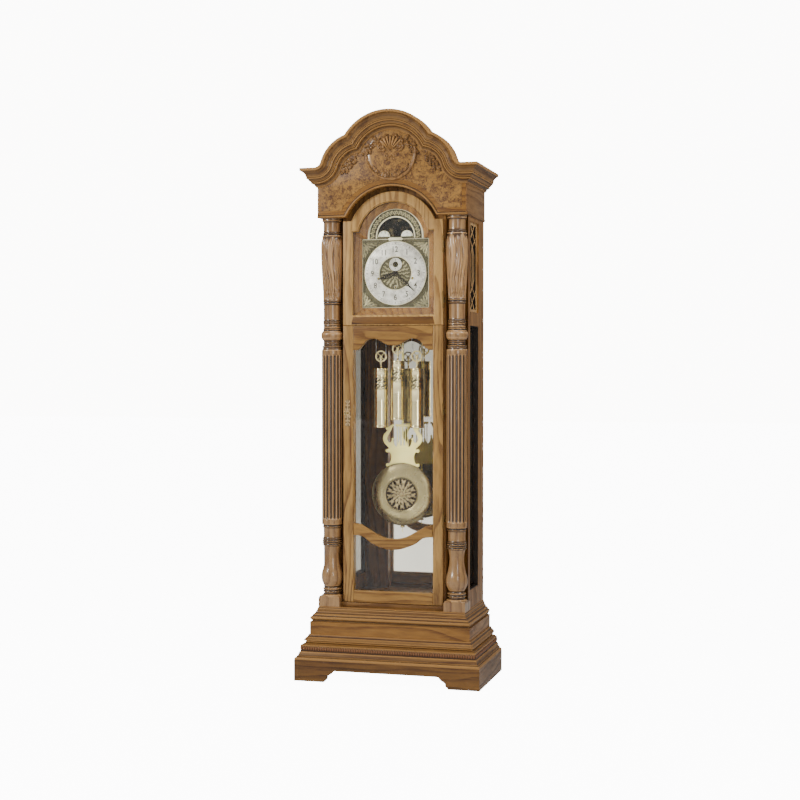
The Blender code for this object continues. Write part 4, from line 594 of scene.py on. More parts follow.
def wood(name, grain, light, dark, figure=7.0, way="up", slot="oak", shade_and_patina_colour=None, shift=(0, 0, 0), coat=0.16):
    """An oak finish whose grain runs up, or level along whichever side a face is on. With a hollow colour,
    painted shade darkens its hollows and a painted highlight lightens its crests."""
    tree, shader, source = finish(name, slot, Coat_Weight=coat, Coat_Roughness=0.17, Specular_IOR_Level=0.34)
    place = link(tree, "VectorMath", {0: source["Object"], 1: shift}, operation="ADD").outputs[0]
    if way != "up":
        x, y, z = link(tree, "SeparateXYZ", {0: place}).outputs
        front, flank = (
            link(tree, "CombineXYZ", dict(enumerate(parts))).outputs[0] for parts in ((y, z, x), (x, z, y)))
        facing = link(tree, "SeparateXYZ", {0: source["Normal"]}).outputs["X"]
        on_side = maths(tree, "GREATER_THAN", maths(tree, "ABSOLUTE", facing), 0.55)
        place = link(tree, "Mix", {0: on_side, 4: front, 5: flank}, data_type="VECTOR").outputs[1]
    look = grouped(tree, grain, {"Place": place, "Figure": figure, "Light": light, "Dark": dark})
    colour = look["Colour"]
    # Painted shade in the hollows and a painted highlight on the crests, by the surface's tone
    if shade_and_patina_colour:
        painted_highlight = tuple(min(1.0, 1.45 * part) for part in light)
        colour = grouped(
            tree, shade_and_patina, {"Colour": colour, "Shade and patina colour": shade_and_patina_colour, "Highlight and wear colour": painted_highlight, "Depth": 0.9})["Colour"]
    surfaced(tree, shader, colour, look["Roughness"], look["Height"], 0.28, 0.0004)


def metal(name, slot, clean, dull, gloss, spread=0.10, shade_and_patina_colour=None, metallic=1.0):
    """A metal finish, with patina darkening its hollows where a colour for them is given."""
    tree, shader, source = finish(name, slot, Metallic=metallic)
    look = grouped(tree, handled, {
        "Place": source["Object"], "Clean": clean, "Dull": dull, "Gloss": gloss, "Spread": spread})
    colour = look["Colour"]
    if shade_and_patina_colour:
        colour = grouped(
            tree, shade_and_patina, {"Colour": colour, "Shade and patina colour": shade_and_patina_colour, "Highlight and wear colour": clean, "Depth": 1.0})["Colour"]
    surfaced(tree, shader, colour, look["Roughness"], look["Height"], 0.02, 0.0001)


def burl_wood():
    """Burl veneer: noise bent by noise for the swirls, with small dark eyes at the middles of cells."""
    tree, shader, source = finish("burl", "oak", Coat_Weight=0.45, Coat_Roughness=0.15)
    place = source["Object"]
    bend = link(tree, "TexNoise", {"Vector": place, "Scale": 26.0, "Detail": 3.0}).outputs["Color"]
    bent = link(tree, "VectorMath", {0: bend, 1: (0.035, 0.035, 0.035), 2: place},
                operation="MULTIPLY_ADD").outputs[0]
    swirl = noise(tree, bent, 105.0, 5.0, 0.70, 0.9)
    cloud = noise(tree, bent, 44.0, 3.0)
    eyes = link(tree, "TexVoronoi", {"Vector": bent, "Scale": 85.0}).outputs["Distance"]
    share = maths(tree, "MULTIPLY_ADD", between(tree, swirl, 0.42, 0.60), 0.60,
                  maths(tree, "MULTIPLY", between(tree, cloud, 0.42, 0.60), 0.45), clamp=True)
    colour = blended(tree, share, (0.465, 0.240, 0.064), (0.095, 0.036, 0.009))
    eye = maths(tree, "MULTIPLY", between(tree, eyes, 0.20, 0.05), 0.35)
    colour = blended(tree, eye, colour, (0.080, 0.030, 0.009))
    surfaced(tree, shader, colour, maths(tree, "MULTIPLY_ADD", share, 0.14, 0.26), swirl, 0.05, 0.0003)


def moon_paint():
    """Night sky on the moon disc: near black clouded by noise, with a star where a cell's middle is near."""
    tree, shader, source = finish("night sky", "moon_blue", Specular_IOR_Level=0.15)
    cloud = between(tree, noise(tree, source["Object"], 34.0, 4.0), 0.50, 0.74)
    colour = blended(tree, cloud, (0.002, 0.002, 0.002), (0.120, 0.095, 0.048))
    cells = link(tree, "TexVoronoi", {"Vector": source["Object"], "Scale": 130.0}).outputs
    star = between(tree, cells["Distance"], 0.10, 0.04)
    few = maths(tree, "GREATER_THAN", link(tree, "SeparateXYZ", {0: cells["Color"]}).outputs["X"], 0.72)
    colour = blended(tree, maths(tree, "MULTIPLY", star, few), colour, (0.75, 0.66, 0.36))
    surfaced(tree, shader, colour, maths(tree, "MULTIPLY_ADD", cloud, 0.15, 0.32))


def globe_paint():
    """A small printed globe: pale seas and darker lands split by noise, and fine level lines."""
    tree, shader, source = finish("printed globe", "dial_brass", Coat_Weight=0.2)
    land = between(tree, noise(tree, source["Object"], 62.0, 4.0), 0.50, 0.56)
    colour = blended(tree, land, (0.70, 0.70, 0.56), (0.33, 0.34, 0.22))
    height = link(tree, "SeparateXYZ", {0: source["Object"]}).outputs["Z"]
    lines = maths(tree, "PINGPONG", maths(tree, "MULTIPLY", height, 180.0), 1.0)
    colour = blended(tree, between(tree, lines, 0.16, 0.04, 0.0, 0.5), colour, (0.16, 0.15, 0.10))
    surfaced(tree, shader, colour, maths(tree, "MULTIPLY_ADD", land, 0.2, 0.35))


def silvered_plate(name, pale, grey):
    """Silvered brass: noise read on the distance from the dial's centre brushes it in rings, and slow noise
    mottles it."""
    tree, shader, source = finish(name, "silver", Metallic=0.85)
    centred = link(tree, "VectorMath", {0: source["Object"], 1: (0, 0, -dial_z)}, operation="ADD").outputs[0]
    flat = stretch(tree, centred, (1, 0, 1))
    reach = link(tree, "VectorMath", {0: flat}, operation="LENGTH").outputs["Value"]
    ringed = link(tree, "CombineXYZ", {0: maths(tree, "MULTIPLY", reach, 40.0)}).outputs[0]
    brushed = noise(tree, ringed, 42.0, 3.0)
    cloud = between(tree, noise(tree, source["Object"], 30.0, 5.0, 0.7), 0.40, 0.62)
    share = maths(tree, "MULTIPLY_ADD", brushed, 0.35, maths(tree, "MULTIPLY", cloud, 0.55), clamp=True)
    rough = maths(tree, "MULTIPLY_ADD", brushed, 0.12, 0.24)
    surfaced(tree, shader, blended(tree, share, pale, grey), rough, brushed, 0.55, 0.0004)


def pane_glass(name, dust_and_shade_tint, clean):
    """Sheet glass of a tint, with its gloss a little uneven as if wiped. The dark tints of the side panes are
    painted shade.
    """
    tree, shader, source = finish(name, "glass", Metallic=0.0, Transmission_Weight=1.0, IOR=1.30)
    wiped = noise(tree, source["Object"], 9.0, 3.0)
    surfaced(tree, shader, blended(tree, wiped, dust_and_shade_tint, clean), maths(tree, "MULTIPLY", wiped, 0.02))


def mirror_glass():
    """Mirror of slightly warm glass, with slow cloudy silvering."""
    tree, shader, source = finish("back mirror", "mirror", Metallic=1.0)
    cloud = noise(tree, source["Object"], 5.0, 3.0)
    surfaced(tree, shader, blended(tree, cloud, (0.66, 0.62, 0.52), (0.78, 0.74, 0.64)),
             maths(tree, "MULTIPLY_ADD", cloud, 0.03, 0.02))


def cloth_weave():
    """Speaker cloth behind the frets: two crossed waves make a plain weave."""
    tree, shader, source = finish("dark cloth", "black", Specular_IOR_Level=0.05)
    part = link(tree, "SeparateXYZ", {0: source["Object"]}).outputs
    warp, weft = (maths(tree, "SINE", maths(tree, "MULTIPLY", part[key], 5200.0)) for key in "YZ")
    weave = maths(tree, "MULTIPLY_ADD", maths(tree, "MULTIPLY", warp, weft), 0.5, 0.5)
    surfaced(tree, shader, blended(tree, weave, (0.006, 0.004, 0.003), (0.022, 0.014, 0.010)),
             maths(tree, "MULTIPLY_ADD", weave, 0.1, 0.8), weave, 0.4, 0.0003)


coats, slots = {}, {}
oak, shade_and_patina, handled = grain_group(), glaze_group(), metal_group()
wood("oak upright", oak, (0.345, 0.165, 0.036), (0.125, 0.048, 0.009), 7.0)
wood("oak door", oak, (0.500, 0.285, 0.086), (0.115, 0.045, 0.010), 9.0, shift=(0.31, 0.0, 0.4))
# The hood's hollow colour is painted shadow in the deep steps of the door's sight edge, with a painted
# highlight on its rounds.
wood("oak hood", oak, (0.640, 0.385, 0.130), (0.280, 0.135, 0.035), 9.0, shade_and_patina_colour=(0.050, 0.020, 0.005),
     shift=(0.11, 0.2, 0.1))
wood("oak rail", oak, (0.420, 0.225, 0.058), (0.150, 0.062, 0.013), 8.0, "level")
wood("oak plinth", oak, (0.212, 0.098, 0.022), (0.074, 0.029, 0.007), 8.0, "level")
# Oak darkened as painted shade, for the splayed surround round the dial.
wood("oak in painted shade", oak, (0.250, 0.122, 0.030), (0.100, 0.040, 0.009), 7.0)
# A lighter copy of the oak, as painted light on the frets in the shaded sides of the hood.
wood("oak fret in painted light", oak, (0.620, 0.400, 0.170), (0.300, 0.160, 0.055), 7.0)
# Near black oak, as painted shade in the reveals of the side windows.
wood("oak bead in painted shade", oak, (0.020, 0.013, 0.008), (0.010, 0.006, 0.004), 4.0, slot="oak_dark", coat=0.05)
wood("oak level", oak, (0.340, 0.160, 0.034), (0.120, 0.046, 0.009), 8.0, "level")
# Hollow colour of the mouldings: painted shade in their hollows, with a painted highlight on their rounds.
wood("oak moulding", oak, (0.278, 0.142, 0.041), (0.112, 0.045, 0.011), 4.0, "level",
     shade_and_patina_colour=(0.040, 0.015, 0.004), shift=(0.1, 0.07, 0))
# Hollow colour of the columns: painted shade in the flutes, rings and leaf furrows, with a painted highlight
# on the ribs.
wood("oak turned", oak, (0.445, 0.255, 0.102), (0.180, 0.086, 0.031), 5.0, shade_and_patina_colour=(0.018, 0.007, 0.003),
     coat=0.9)
# Hollow colours of the carvings: painted shade between leaves and cuts, with a painted highlight on their
# crests.
wood("oak carved", oak, (0.360, 0.185, 0.058), (0.160, 0.072, 0.022), 3.0, shade_and_patina_colour=(0.030, 0.011, 0.005))
wood("carved band", oak, (0.190, 0.078, 0.030), (0.090, 0.034, 0.014), 3.0, "level",
     shade_and_patina_colour=(0.030, 0.010, 0.005))
wood("oak inside", oak, (0.140, 0.082, 0.036), (0.066, 0.037, 0.017), 7.0, slot="oak_dark", coat=0.1)
burl_wood()
metal("polished brass", "brass", (0.860, 0.730, 0.390), (0.760, 0.620, 0.300), 0.12, 0.08)
metal("aged brass", "brass", (0.300, 0.190, 0.070), (0.200, 0.120, 0.045), 0.34, 0.12)
metal("old gilt", "brass", (0.760, 0.560, 0.300), (0.560, 0.370, 0.170), 0.26, 0.12,
      shade_and_patina_colour=(0.080, 0.040, 0.014), metallic=0.5)
metal("pale brass", "brass", (1.000, 0.880, 0.310), (1.000, 0.850, 0.280), 0.45, 0.08, metallic=0.12)
metal("satin brass", "brass", (0.420, 0.344, 0.172), (0.345, 0.278, 0.132), 0.22, 0.10)
metal("embossed brass", "brass", (0.790, 0.680, 0.390), (0.680, 0.570, 0.300), 0.07, 0.03,
      shade_and_patina_colour=(0.050, 0.036, 0.015))
metal("antique brass", "dial_brass", (0.720, 0.660, 0.420), (0.600, 0.540, 0.320), 0.30, 0.12,
      shade_and_patina_colour=(0.050, 0.044, 0.022))
metal("engraved brass", "dial_brass", (0.290, 0.256, 0.150), (0.200, 0.176, 0.100), 0.30, 0.12,
      shade_and_patina_colour=(0.030, 0.026, 0.013))
metal("chased bronze", "brass", (0.450, 0.360, 0.195), (0.330, 0.260, 0.135), 0.30, 0.12,
      shade_and_patina_colour=(0.022, 0.014, 0.006))
metal("ring ink", "black", (0.130, 0.115, 0.090), (0.080, 0.070, 0.055), 0.36, 0.10)
metal("dial ground", "dial_brass", (0.090, 0.080, 0.046), (0.056, 0.050, 0.028), 0.42, 0.12)
metal("bright rim", "dial_brass", (0.760, 0.690, 0.480), (0.640, 0.570, 0.370), 0.28, 0.08)
metal("steel", "steel", (0.62, 0.61, 0.58), (0.50, 0.49, 0.46), 0.22, 0.12)
metal("blackened steel", "black", (0.028, 0.024, 0.018), (0.018, 0.015, 0.012), 0.38, 0.12)
silvered_plate("silvered ring", (0.90, 0.86, 0.76), (0.34, 0.31, 0.25))
moon_paint()
globe_paint()
pane_glass("pane glass", (0.93, 0.95, 0.94), (0.985, 0.99, 0.985))
# Grey and near black tints on the side panes, as painted shade seen through the case's sides.
pane_glass("left pane in painted shade", (0.46, 0.46, 0.45), (0.54, 0.54, 0.53))
pane_glass("right pane in painted shade", (0.26, 0.25, 0.23), (0.32, 0.31, 0.29))
mirror_glass()
cloth_weave()


# ---------------------------------------------------------------- mouldings of the case


def wrapped(section, half, front):
    """A closed (reach out, height) section carried round the left, front and right, with mitred corners."""
    reach, height = np.asarray(section, float).T
    left, right = -(half + reach), half + reach
    far, near = np.full_like(reach, case_back), front - reach
    grid = np.stack([
        np.stack([x, y, height], -1) for x, y in ((left, far), (left, near), (right, near), (right, far))], 1)
    return extruded(grid, hollows(np.stack([reach, height], -1))[:, None])


def base_moulding():
    """The stepped moulding over the plinth's edge: ogee, fillet, cove, the flat behind the carved band, and a
    bead under the top ogee, as (reach out, height) points."""
    section = run(
        [(0.0, 0.0), (0.0520, 0.0)],
        [(0.0520, 0.0005), (0.0520, 0.005), (0.0495, 0.009), (0.0462, 0.011)],
        [(0.0440, 0.0115), (0.0440, 0.0150)],
        [(0.0425, 0.0155), (0.0390, 0.0205), (0.0360, 0.0290), (0.0335, 0.0330)],
        [(0.0310, 0.0335), (0.0310, 0.0600)],
        [(0.0300, 0.0605), (0.0255, 0.0620), (0.0185, 0.0655), (0.0115, 0.0670)],
        bulge((0.0112, 0.0675), (0.0112, 0.0755), 0.0035),
        [(0.0190, 0.0770), (0.0200, 0.0815)],
        [(0.0180, 0.0830), (0.0125, 0.0900), (0.0080, 0.0935), (0.0050, 0.1000)],
        [(0.0048, 0.1015), (0.0, 0.1015)],
    ) + (0, 0.0883)
    piece("base_moulding_run", [wrapped(section, box_half, box_front)], "oak moulding",
          stands_for=("base_moulding",))


def carved_band():
    """Leaf cuts side by side along the plinth moulding: each is a low half round, pointed at both ends."""
    z, height, pitch, reach, half_width, rise = 0.1350, 0.0190, 0.0105, 0.0310, 0.0046, 0.0026
    t, u = np.linspace(0, 1, 9)[:, None], np.linspace(0, np.pi, 7)[None, :]
    swell = np.sin(np.pi * np.clip(t, 0.03, 0.97)) ** 0.6
    across, out = half_width * swell * np.cos(u), rise * swell * np.sin(u) + 0.0002
    up = z + (t - 0.5) * height + 0 * u
    # Tone by height: painted shade between the cuts, painted highlight on their crowns.
    tone = np.clip(out / rise, 0, 1)
    side, near = box_half + reach, box_front - reach
    forms = []
    for on_front, low, high in ((True, -side, side), (False, near, case_back)):
        count = int((high - low) / pitch)
        for place in low + (high - low) * (np.arange(count) + 0.5) / count:
            if on_front:
                forms.append(skin(np.stack([place + across, near - out, up], -1), tone=tone))
            else:
                forms += both_sides(skin(np.stack([side + out, place + across, up], -1), tone=tone))
    piece("carved_band", forms, "carved band")


def waist_moulding():
    """The deck between the box and the case: bead, cove and thumb, under the flat that bears the columns."""
    foot = 0.2430
    section = run(
        [(-0.010, 0.0), (0.0220, 0.0)], [(0.0220, 0.006), (0.0275, 0.0085)],
        bulge((0.0255, 0.0105), (0.0255, 0.0220), 0.0035),
        [(0.0225, 0.0235), (0.0190, 0.0300), (0.0130, 0.0350), (0.0095, 0.0420)],
        [(0.0070, 0.0425), (0.0070, 0.0460)],
        [(0.0060, 0.0465), (0.0045, 0.0530), (0.0025, 0.0560), (0.0018, 0.0600)],
        [(0.0018, 0.0600), (-0.010, 0.0600)],
    ) + (0, foot)
    deck = board([rectangle(-0.3075, -0.1335, 0.3075, 0.2245)], 0.3029, 0.283, 0.0003, "Z")
    sill = box(-0.2259, -0.112, 0.3025, 0.2259, -0.088, 0.3215, 0.002)
    rear = box(-0.3055, 0.176, foot + 0.0001, 0.3055, 0.2247, 0.2832, 0.0003)
    piece("waist_moulding_run", [wrapped(section, case_half, -0.1425), deck, sill, rear], "oak moulding",
          stands_for=("waist_moulding",))


def cornice_section():
    """(reach, drop) of the top moulding: lip, thumb, bead, deep cove, bead and ogee, from its top down."""
    lip = [(1.0, 0.0), (1.0, 0.145)]
    thumb = [(0.95, 0.165), (0.86, 0.20), (0.72, 0.30), (0.655, 0.42), (0.645, 0.47)]
    bead = bulge((0.600, 0.485), (0.585, 0.565), 0.035)
    cove = [(0.545, 0.58), (0.50, 0.63), (0.43, 0.69), (0.385, 0.71)]
    lower = bulge((0.345, 0.725), (0.330, 0.80), 0.035)
    ogee = [(0.285, 0.815), (0.20, 0.85), (0.13, 0.915), (0.10, 0.96), (0.055, 0.985)]
    line = run(lip, thumb, bead, cove, lower, ogee, [(0.05, 1.0), (0.005, 1.0)])
    return np.concatenate([[(0.005, 0.0)], line]) * (cornice_reach, cornice_drop)


def bonnet_line(offset, half_width, steps=(12, 20, 34)):
    """The bonnet's edge moved in by an offset: a flat end, a hollow flare, a shoulder arc and the crown arc,
    met where the two circles cross, and then its mirror image."""
    shoulder_z, crown_z = cornice_top - shoulder_drop, bonnet_top - crown_radius
    rise = flare_radius + shoulder_drop
    flare_x = shoulder_x + np.sqrt((shoulder_radius + flare_radius) ** 2 - rise**2)
    flare = (flare_x, cornice_top + flare_radius)
    meeting = np.degrees(np.arctan2(rise, flare[0] - shoulder_x))
    crown, side = crown_radius - offset, shoulder_radius - offset
    apart = np.hypot(shoulder_x, shoulder_z - crown_z)
    cusp_turn = np.arctan2(shoulder_z - crown_z, shoulder_x)
    cusp_turn += np.arccos((crown**2 + apart**2 - side**2) / (2 * crown * apart))
    cusp = crown * np.cos(cusp_turn), crown_z + crown * np.sin(cusp_turn)
    side_turn = np.degrees(np.arctan2(cusp[1] - shoulder_z, cusp[0] - shoulder_x))
    return folded(np.concatenate([
        [(half_width, cornice_top - offset)],
        arc(flare, flare_radius + offset, 270, 180 + meeting, steps[0]),
        arc((shoulder_x, shoulder_z), side, meeting, side_turn, steps[1])[1:],
        arc((0, crown_z), crown, np.degrees(cusp_turn), 90, steps[2])[1:-1],
        [(0, bonnet_top - offset)],
    ]))


def bonnet_moulding():
    """The bonnet's moulding: each point of its section follows the bonnet's edge, moved in by its drop."""
    section = cornice_section()
    grid = np.array([
        placed(bonnet_line(drop, frieze_half + reach), frieze_face - reach) for reach, drop in section])
    piece("bonnet_moulding_run", [extruded(grid, hollows(section * (1, -1))[:, None])], "oak moulding",
          stands_for=("bonnet_moulding",))


def cornices():
    """The straight top moulding of each side, with the board under it and a bead along the board's foot."""
    section, panel_front = cornice_section(), -0.1177
    reach, drop = section.T
    grid = np.stack([
        np.stack([frieze_half + reach, y, cornice_top - drop], -1)
        for y in (np.full_like(reach, case_back), frieze_face - reach + 0.0005)], 1)
    panel = board([rectangle(panel_front, frieze_foot, case_back, cornice_top)], frieze_half,
                  frieze_half - 0.0042, 0.0008, "X")
    out, up = bulge((frieze_half + 0.0002, frieze_foot + 0.002), (frieze_half + 0.0002, frieze_foot + 0.010),
                    0.0025).T
    bead = [np.stack([out, np.full_like(out, y), up], -1) for y in (panel_front, case_back)]
    form = joined([extruded(grid, hollows(section * (1, -1))[:, None]), panel, extruded(np.stack(bead, 1))])
    pair("cornice_run", form, "oak moulding", "cornice")


# ---------------------------------------------------------------- pediment


def arch_line(radius, foot, steps=48):
    """The arch over the hood door, from its right foot to its left."""
    turn = np.degrees(np.arcsin((foot - arch_z) / radius))
    return arc((0, arch_z), radius, turn, 180 - turn, steps)


def pediment():
    """The arched board, its burl field, and the moulding that edges the arch and the foot."""
    outline = np.concatenate([[(frieze_half, frieze_foot)], bonnet_line(0.020, frieze_half),
                              [(-frieze_half, frieze_foot)], arch_line(frieze_arch, frieze_foot)[::-1]])
    blocks = both_sides(box(0.2195, frieze_back, frieze_foot + 0.0005, case_half, -0.088, case_top, 0.0005))
    piece("pediment_panel", [board([outline], frieze_face, frieze_back, 0.0008), *blocks], "oak level",
          stands_for=("pediment_board",))

    side, foot = 0.3035, 1.9730
    field_arch = arch_line(0.2460, foot)[::-1]
    field = np.concatenate([[(side, foot)], bonnet_line(cornice_drop - 0.002, side)[1:-1], [(-side, foot)],
                            field_arch])
    field[1, 0], field[-len(field_arch) - 2, 0] = side, -side
    piece("burl_field", [board([field], frieze_face - 0.0012, frieze_face - 0.0001, 0.0009)], "burl")

    section = run([(0.0006, 0.0), (0.0006, 0.0042)], [(0.0018, 0.0058), (0.0040, 0.0060), (0.0060, 0.0052)],
                  [(0.0066, 0.0036), (0.0080, 0.0034)], bulge((0.0082, 0.0036), (0.0122, 0.0030), 0.0016),
                  [(0.0134, 0.0012), (0.0134, -0.0010)])
    rows = []
    for off, out in section:
        foot, end = frieze_foot + off, frieze_half - 0.0005
        line = np.concatenate([[(end, foot)], arch_line(frieze_arch + off, foot), [(-end, foot)]])
        rows.append(placed(line, frieze_face - out))
    piece("pediment_edging", [extruded(np.array(rows), hollows(section, 0.002)[:, None])], "oak moulding")


def cartouche():
    """The round frame under the bonnet, with its domed burl disc."""
    z, radius, rim = 2.2045, 0.1070, frieze_face - 0.0006
    section = run([(0.0065, 0.0)], [(0.0060, 0.0040), (0.0035, 0.0068), (0.0, 0.0074), (-0.0030, 0.0060),
                                    (-0.0048, 0.0034)], [(-0.0062, 0.0030), (-0.0064, 0.0)])
    turn = np.radians(np.linspace(168, 372, 120))[None, :]
    reach = radius + section[:, :1]
    grid = np.stack([reach * np.cos(turn), rim - section[:, 1:] + 0 * turn, z + reach * np.sin(turn)], -1)
    piece("cartouche_frame", [extruded(grid)], "oak carved", stands_for=("cartouche_ring",))
    dome = np.array([(0, -0.0040), (0.030, -0.0038), (0.060, -0.0031), (0.085, -0.0020), (0.0975, -0.0012),
                     (0.0992, -0.0004), (0.0992, 0.0004), (0, 0.0004)]) + (0, rim)
    piece("cartouche_burl", [disc(dome, z)], "burl")


def shell():
    """The fan on the cartouche, among scrolls and leaves. Its ribs rise with the size of a cosine round the
    fan, and swell towards a scalloped edge."""
    ribs, spread, length, deep, foot_z = 7, np.radians(104), 0.066, 0.0125, 2.2140
    t, a = np.linspace(0, 1, 34)[:, None], np.linspace(-0.5, 0.5, 145)[None, :]
    beat = np.abs(np.cos(np.pi * ribs * a))
    reach = length * (0.10 + 0.90 * t) * (0.90 + 0.10 * beat)
    belly = np.sin(np.pi * np.clip(0.12 + 0.80 * t, 0, 1)) ** 0.8
    rise = deep * (0.22 + 0.78 * belly) * (0.60 + 0.40 * beat**0.7) * (1 - 0.25 * (2 * a) ** 2)
    rise = np.where(t > 0.97, rise * 0.55, rise)
    x, z, rear = reach * np.sin(spread * a), foot_z + reach * np.cos(spread * a), frieze_face - 0.0004
    top = np.stack([x, rear - rise, z], -1)
    back = np.stack([x, np.full_like(x, rear), z], -1)
    grid = np.concatenate([back[:1], top, back[-1:]])
    # Tone: painted shade between the ribs and at the foot, painted highlight on the rib crests.
    tone = np.concatenate([0 * beat, 0.08 + 0.92 * beat * np.clip(0.35 + belly, 0, 1), 0 * beat])
    cuts = [np.concatenate([top[:, k], back[::-1, k]]) for k in (0, -1)]
    rim = np.concatenate([back[0], back[-1][::-1]])
    forms = [skin(grid, tone=tone), *(cap([ring]) for ring in (*cuts, rim))]
    scroll_face = frieze_face - 0.0030
    forms += both_sides(scroll((0.0400, 2.2330), 0.0200, 1.6, 210, scroll_face, 0.0080, sides=10))
    forms += both_sides(scroll((0.0150, 2.1960), 0.0105, 1.2, -20, scroll_face, 0.0050, sides=10))
    forms.append(turned([(0, 0), (0.0075, 0), (0.0068, -0.006), (0.004, -0.0095), (0, -0.0105)],
                        (0, frieze_face, 2.1960), "Y", 20))
    for points, wide, out, height, lobes in (
        ([(0.0300, 2.2500), (0.0330, 2.2680), (0.0180, 2.2820), (0.0020, 2.2780)], 0.0075, 0.001, 0.0085, 4),
        ([(0.0460, 2.2220), (0.0560, 2.2420), (0.0480, 2.2640), (0.0340, 2.2720)], 0.0080, 0.001, 0.0085, 4),
        ([(0.004, 2.1940), (0.010, 2.1850), (0.020, 2.1720)], 0.0085, 0.002, 0.0070, 3),
    ):
        forms += both_sides(leaf(flowing(points, 10), wide, frieze_face - out, height, lobes))
    piece("shell_fan", forms, "oak carved", stands_for=("shell_carving",), sharp=50)


def sprig(points, size, face, height, leaves=5, grow=0.75):
    """A stem with leaves set off it turn by turn, each shorter than the last, and one at its tip."""
    stem = spaced(flowing(points, 12), 60)
    forms = [tube(placed(stem, face - 0.3 * height), np.linspace(0.20, 0.08, 60) * height, 8)]
    for i in range(leaves):
        at = int(6 + 46 * i / max(leaves - 1, 1))
        ahead = stem[at + 3] - stem[at]
        ahead /= np.hypot(*ahead)
        side = np.array([-ahead[1], ahead[0]]) * (1 if i % 2 else -1)
        length = size * (1 - (1 - grow) * i / leaves)
        line = flowing([stem[at], stem[at] + length * (0.45 * ahead + 0.42 * side),
                        stem[at] + length * (0.95 * ahead + 0.48 * side)], 10)
        forms.append(leaf(line, 0.30 * length, face, height, 3))
    forms.append(leaf(np.array([stem[-14], stem[-6], stem[-1] + (stem[-1] - stem[-8]) * 1.6]), 0.26 * size,
                      face, height, 3))
    return forms


def carvings():
    """Leaf sprays draped over the cartouche and in the corners of the burl field."""
    face = frieze_face - 0.0012
    over = [(0.040, 2.2420), (0.066, 2.2560), (0.088, 2.2380), (0.1040, 2.2050)]
    corner = [(0.1500, 2.2020), (0.1640, 2.1840), (0.1860, 2.1560), (0.2060, 2.1340)]
    forms = sprig(over, 0.034, face, 0.0085, 6) + sprig(corner, 0.032, face, 0.0070, 6)
    forms.append(scroll((0.1530, 2.2080), 0.0110, 1.3, 90, face, 0.0050))
    for points, wide in (
        ([(0.004, 2.1130), (0.026, 2.1150), (0.052, 2.1290)], 0.0110),
        ([(0.004, 2.1160), (0.018, 2.1300), (0.034, 2.1370)], 0.0085),
        ([(0.046, 2.1240), (0.066, 2.1390), (0.078, 2.1610)], 0.0075),
    ):
        forms.append(leaf(flowing(points, 10), wide, face - 0.0016, 0.0060, 4))
    piece("pediment_leaves", forms + [mirrored(form) for form in forms], "oak carved", sharp=50)


# ---------------------------------------------------------------- columns


def column_profile():
    """(radius, height) from the cap down to the square block: smooth lines with narrow hollow rings between
    them. Across, both are written in shares of the shaft's radius."""

    def ring(share, top, foot, depth):
        """A half round ring, with its depth in metres."""
        return bulge((share, top), (share, foot), depth / shaft_radius)

    return run(
        [(0.0, 1.9447), (0.977, 1.9447)], ring(0.95, 1.9440, 1.9330, 0.0012),
        [(0.84, 1.9310), (0.80, 1.9240), (0.79, 1.9000), (0.80, 1.8860), (0.84, 1.8825)],
        ring(0.93, 1.8820, 1.8720, 0.0030),
        [(0.95, 1.8700), (1.04, 1.8450), (1.07, 1.8220), (1.055, 1.7730), (1.00, 1.7180), (0.915, 1.6570),
         (0.850, 1.5985)],
        ring(0.90, 1.5960, 1.5850, 0.0034),
        [(0.83, 1.5830), (0.785, 1.5770), (0.775, 1.5450), (0.785, 1.5180), (0.83, 1.5120)],
        ring(0.90, 1.5110, 1.5030, 0.0026), [(0.825, 1.5010), (0.825, 1.4960)],
        ring(0.83, 1.4950, 1.4870, 0.0020), [(0.82, 1.4860), (0.80, 1.4790)],
        ring(0.90, 1.4760, 1.4690, 0.0026),
        [(0.93, 1.4670), (1.03, 1.4590), (1.045, 1.4500), (1.00, 1.4390), (0.90, 1.4320)],
        [(0.812, 1.4290), (0.812, 1.4230)], ring(0.86, 1.4220, 1.4140, 0.0024),
        [(0.812, 1.4130), (0.812, 1.4080)], ring(0.98, 1.4050, 1.3900, 0.0036),
        [(1, 1.3880), (1, 1.3740)], [(1, 1.3740), (1, 1.3600)], [(1, 1.3600), (1, 0.6800)],
        [(1, 0.6800), (1, 0.6660)], [(1, 0.6660), (1, 0.6510)], ring(0.96, 0.6500, 0.6400, 0.0034),
        [(0.88, 0.6380), (0.845, 0.6310), (0.835, 0.6130), (0.845, 0.5970), (0.89, 0.5910)],
        ring(0.97, 0.5900, 0.5800, 0.0030), [(0.92, 0.5785), (0.92, 0.5730)],
        ring(0.97, 0.5715, 0.5630, 0.0030),
        [(0.86, 0.5610), (0.76, 0.5450), (0.70, 0.5240), (0.735, 0.4980), (0.86, 0.4680), (1.00, 0.4460),
         (1.045, 0.4280), (1.00, 0.4100), (0.84, 0.3930), (0.73, 0.3860)],
        [(0.74, 0.3840), (0.80, 0.3800)], ring(0.91, 0.3760, 0.3640, 0.0032),
        [(0.80, 0.3620), (0.78, 0.3560)], [(0.86, 0.3530), (0.98, 0.3490), (0.99, 0.3440)],
        [(0.99, 0.3440), (0.0, 0.3440)],
    ) * (shaft_radius, 1)


def divided(line, longest):
    """The line with each of its spans cut evenly into parts no longer than that span's limit."""
    parts = [line[:1]]
    for start, span, limit in zip(line[:-1], np.diff(line, axis=0), longest):
        count = max(1, int(np.ceil(np.hypot(*span) / limit)))
        parts.append(start + span * (np.arange(1, count + 1) / count)[:, None])
    return np.concatenate(parts)


def column_rows():
    """The profile with even, close rows where it is carved and sparse ones on the plain shaft."""
    line = column_profile()
    height = (line[:-1, 1] + line[1:, 1]) / 2
    fine = np.where((height > 1.598) & (height < 1.868), 0.0024, 0.0040)
    return divided(line, np.where((height > 0.69) & (height < 1.35), 0.08, fine))


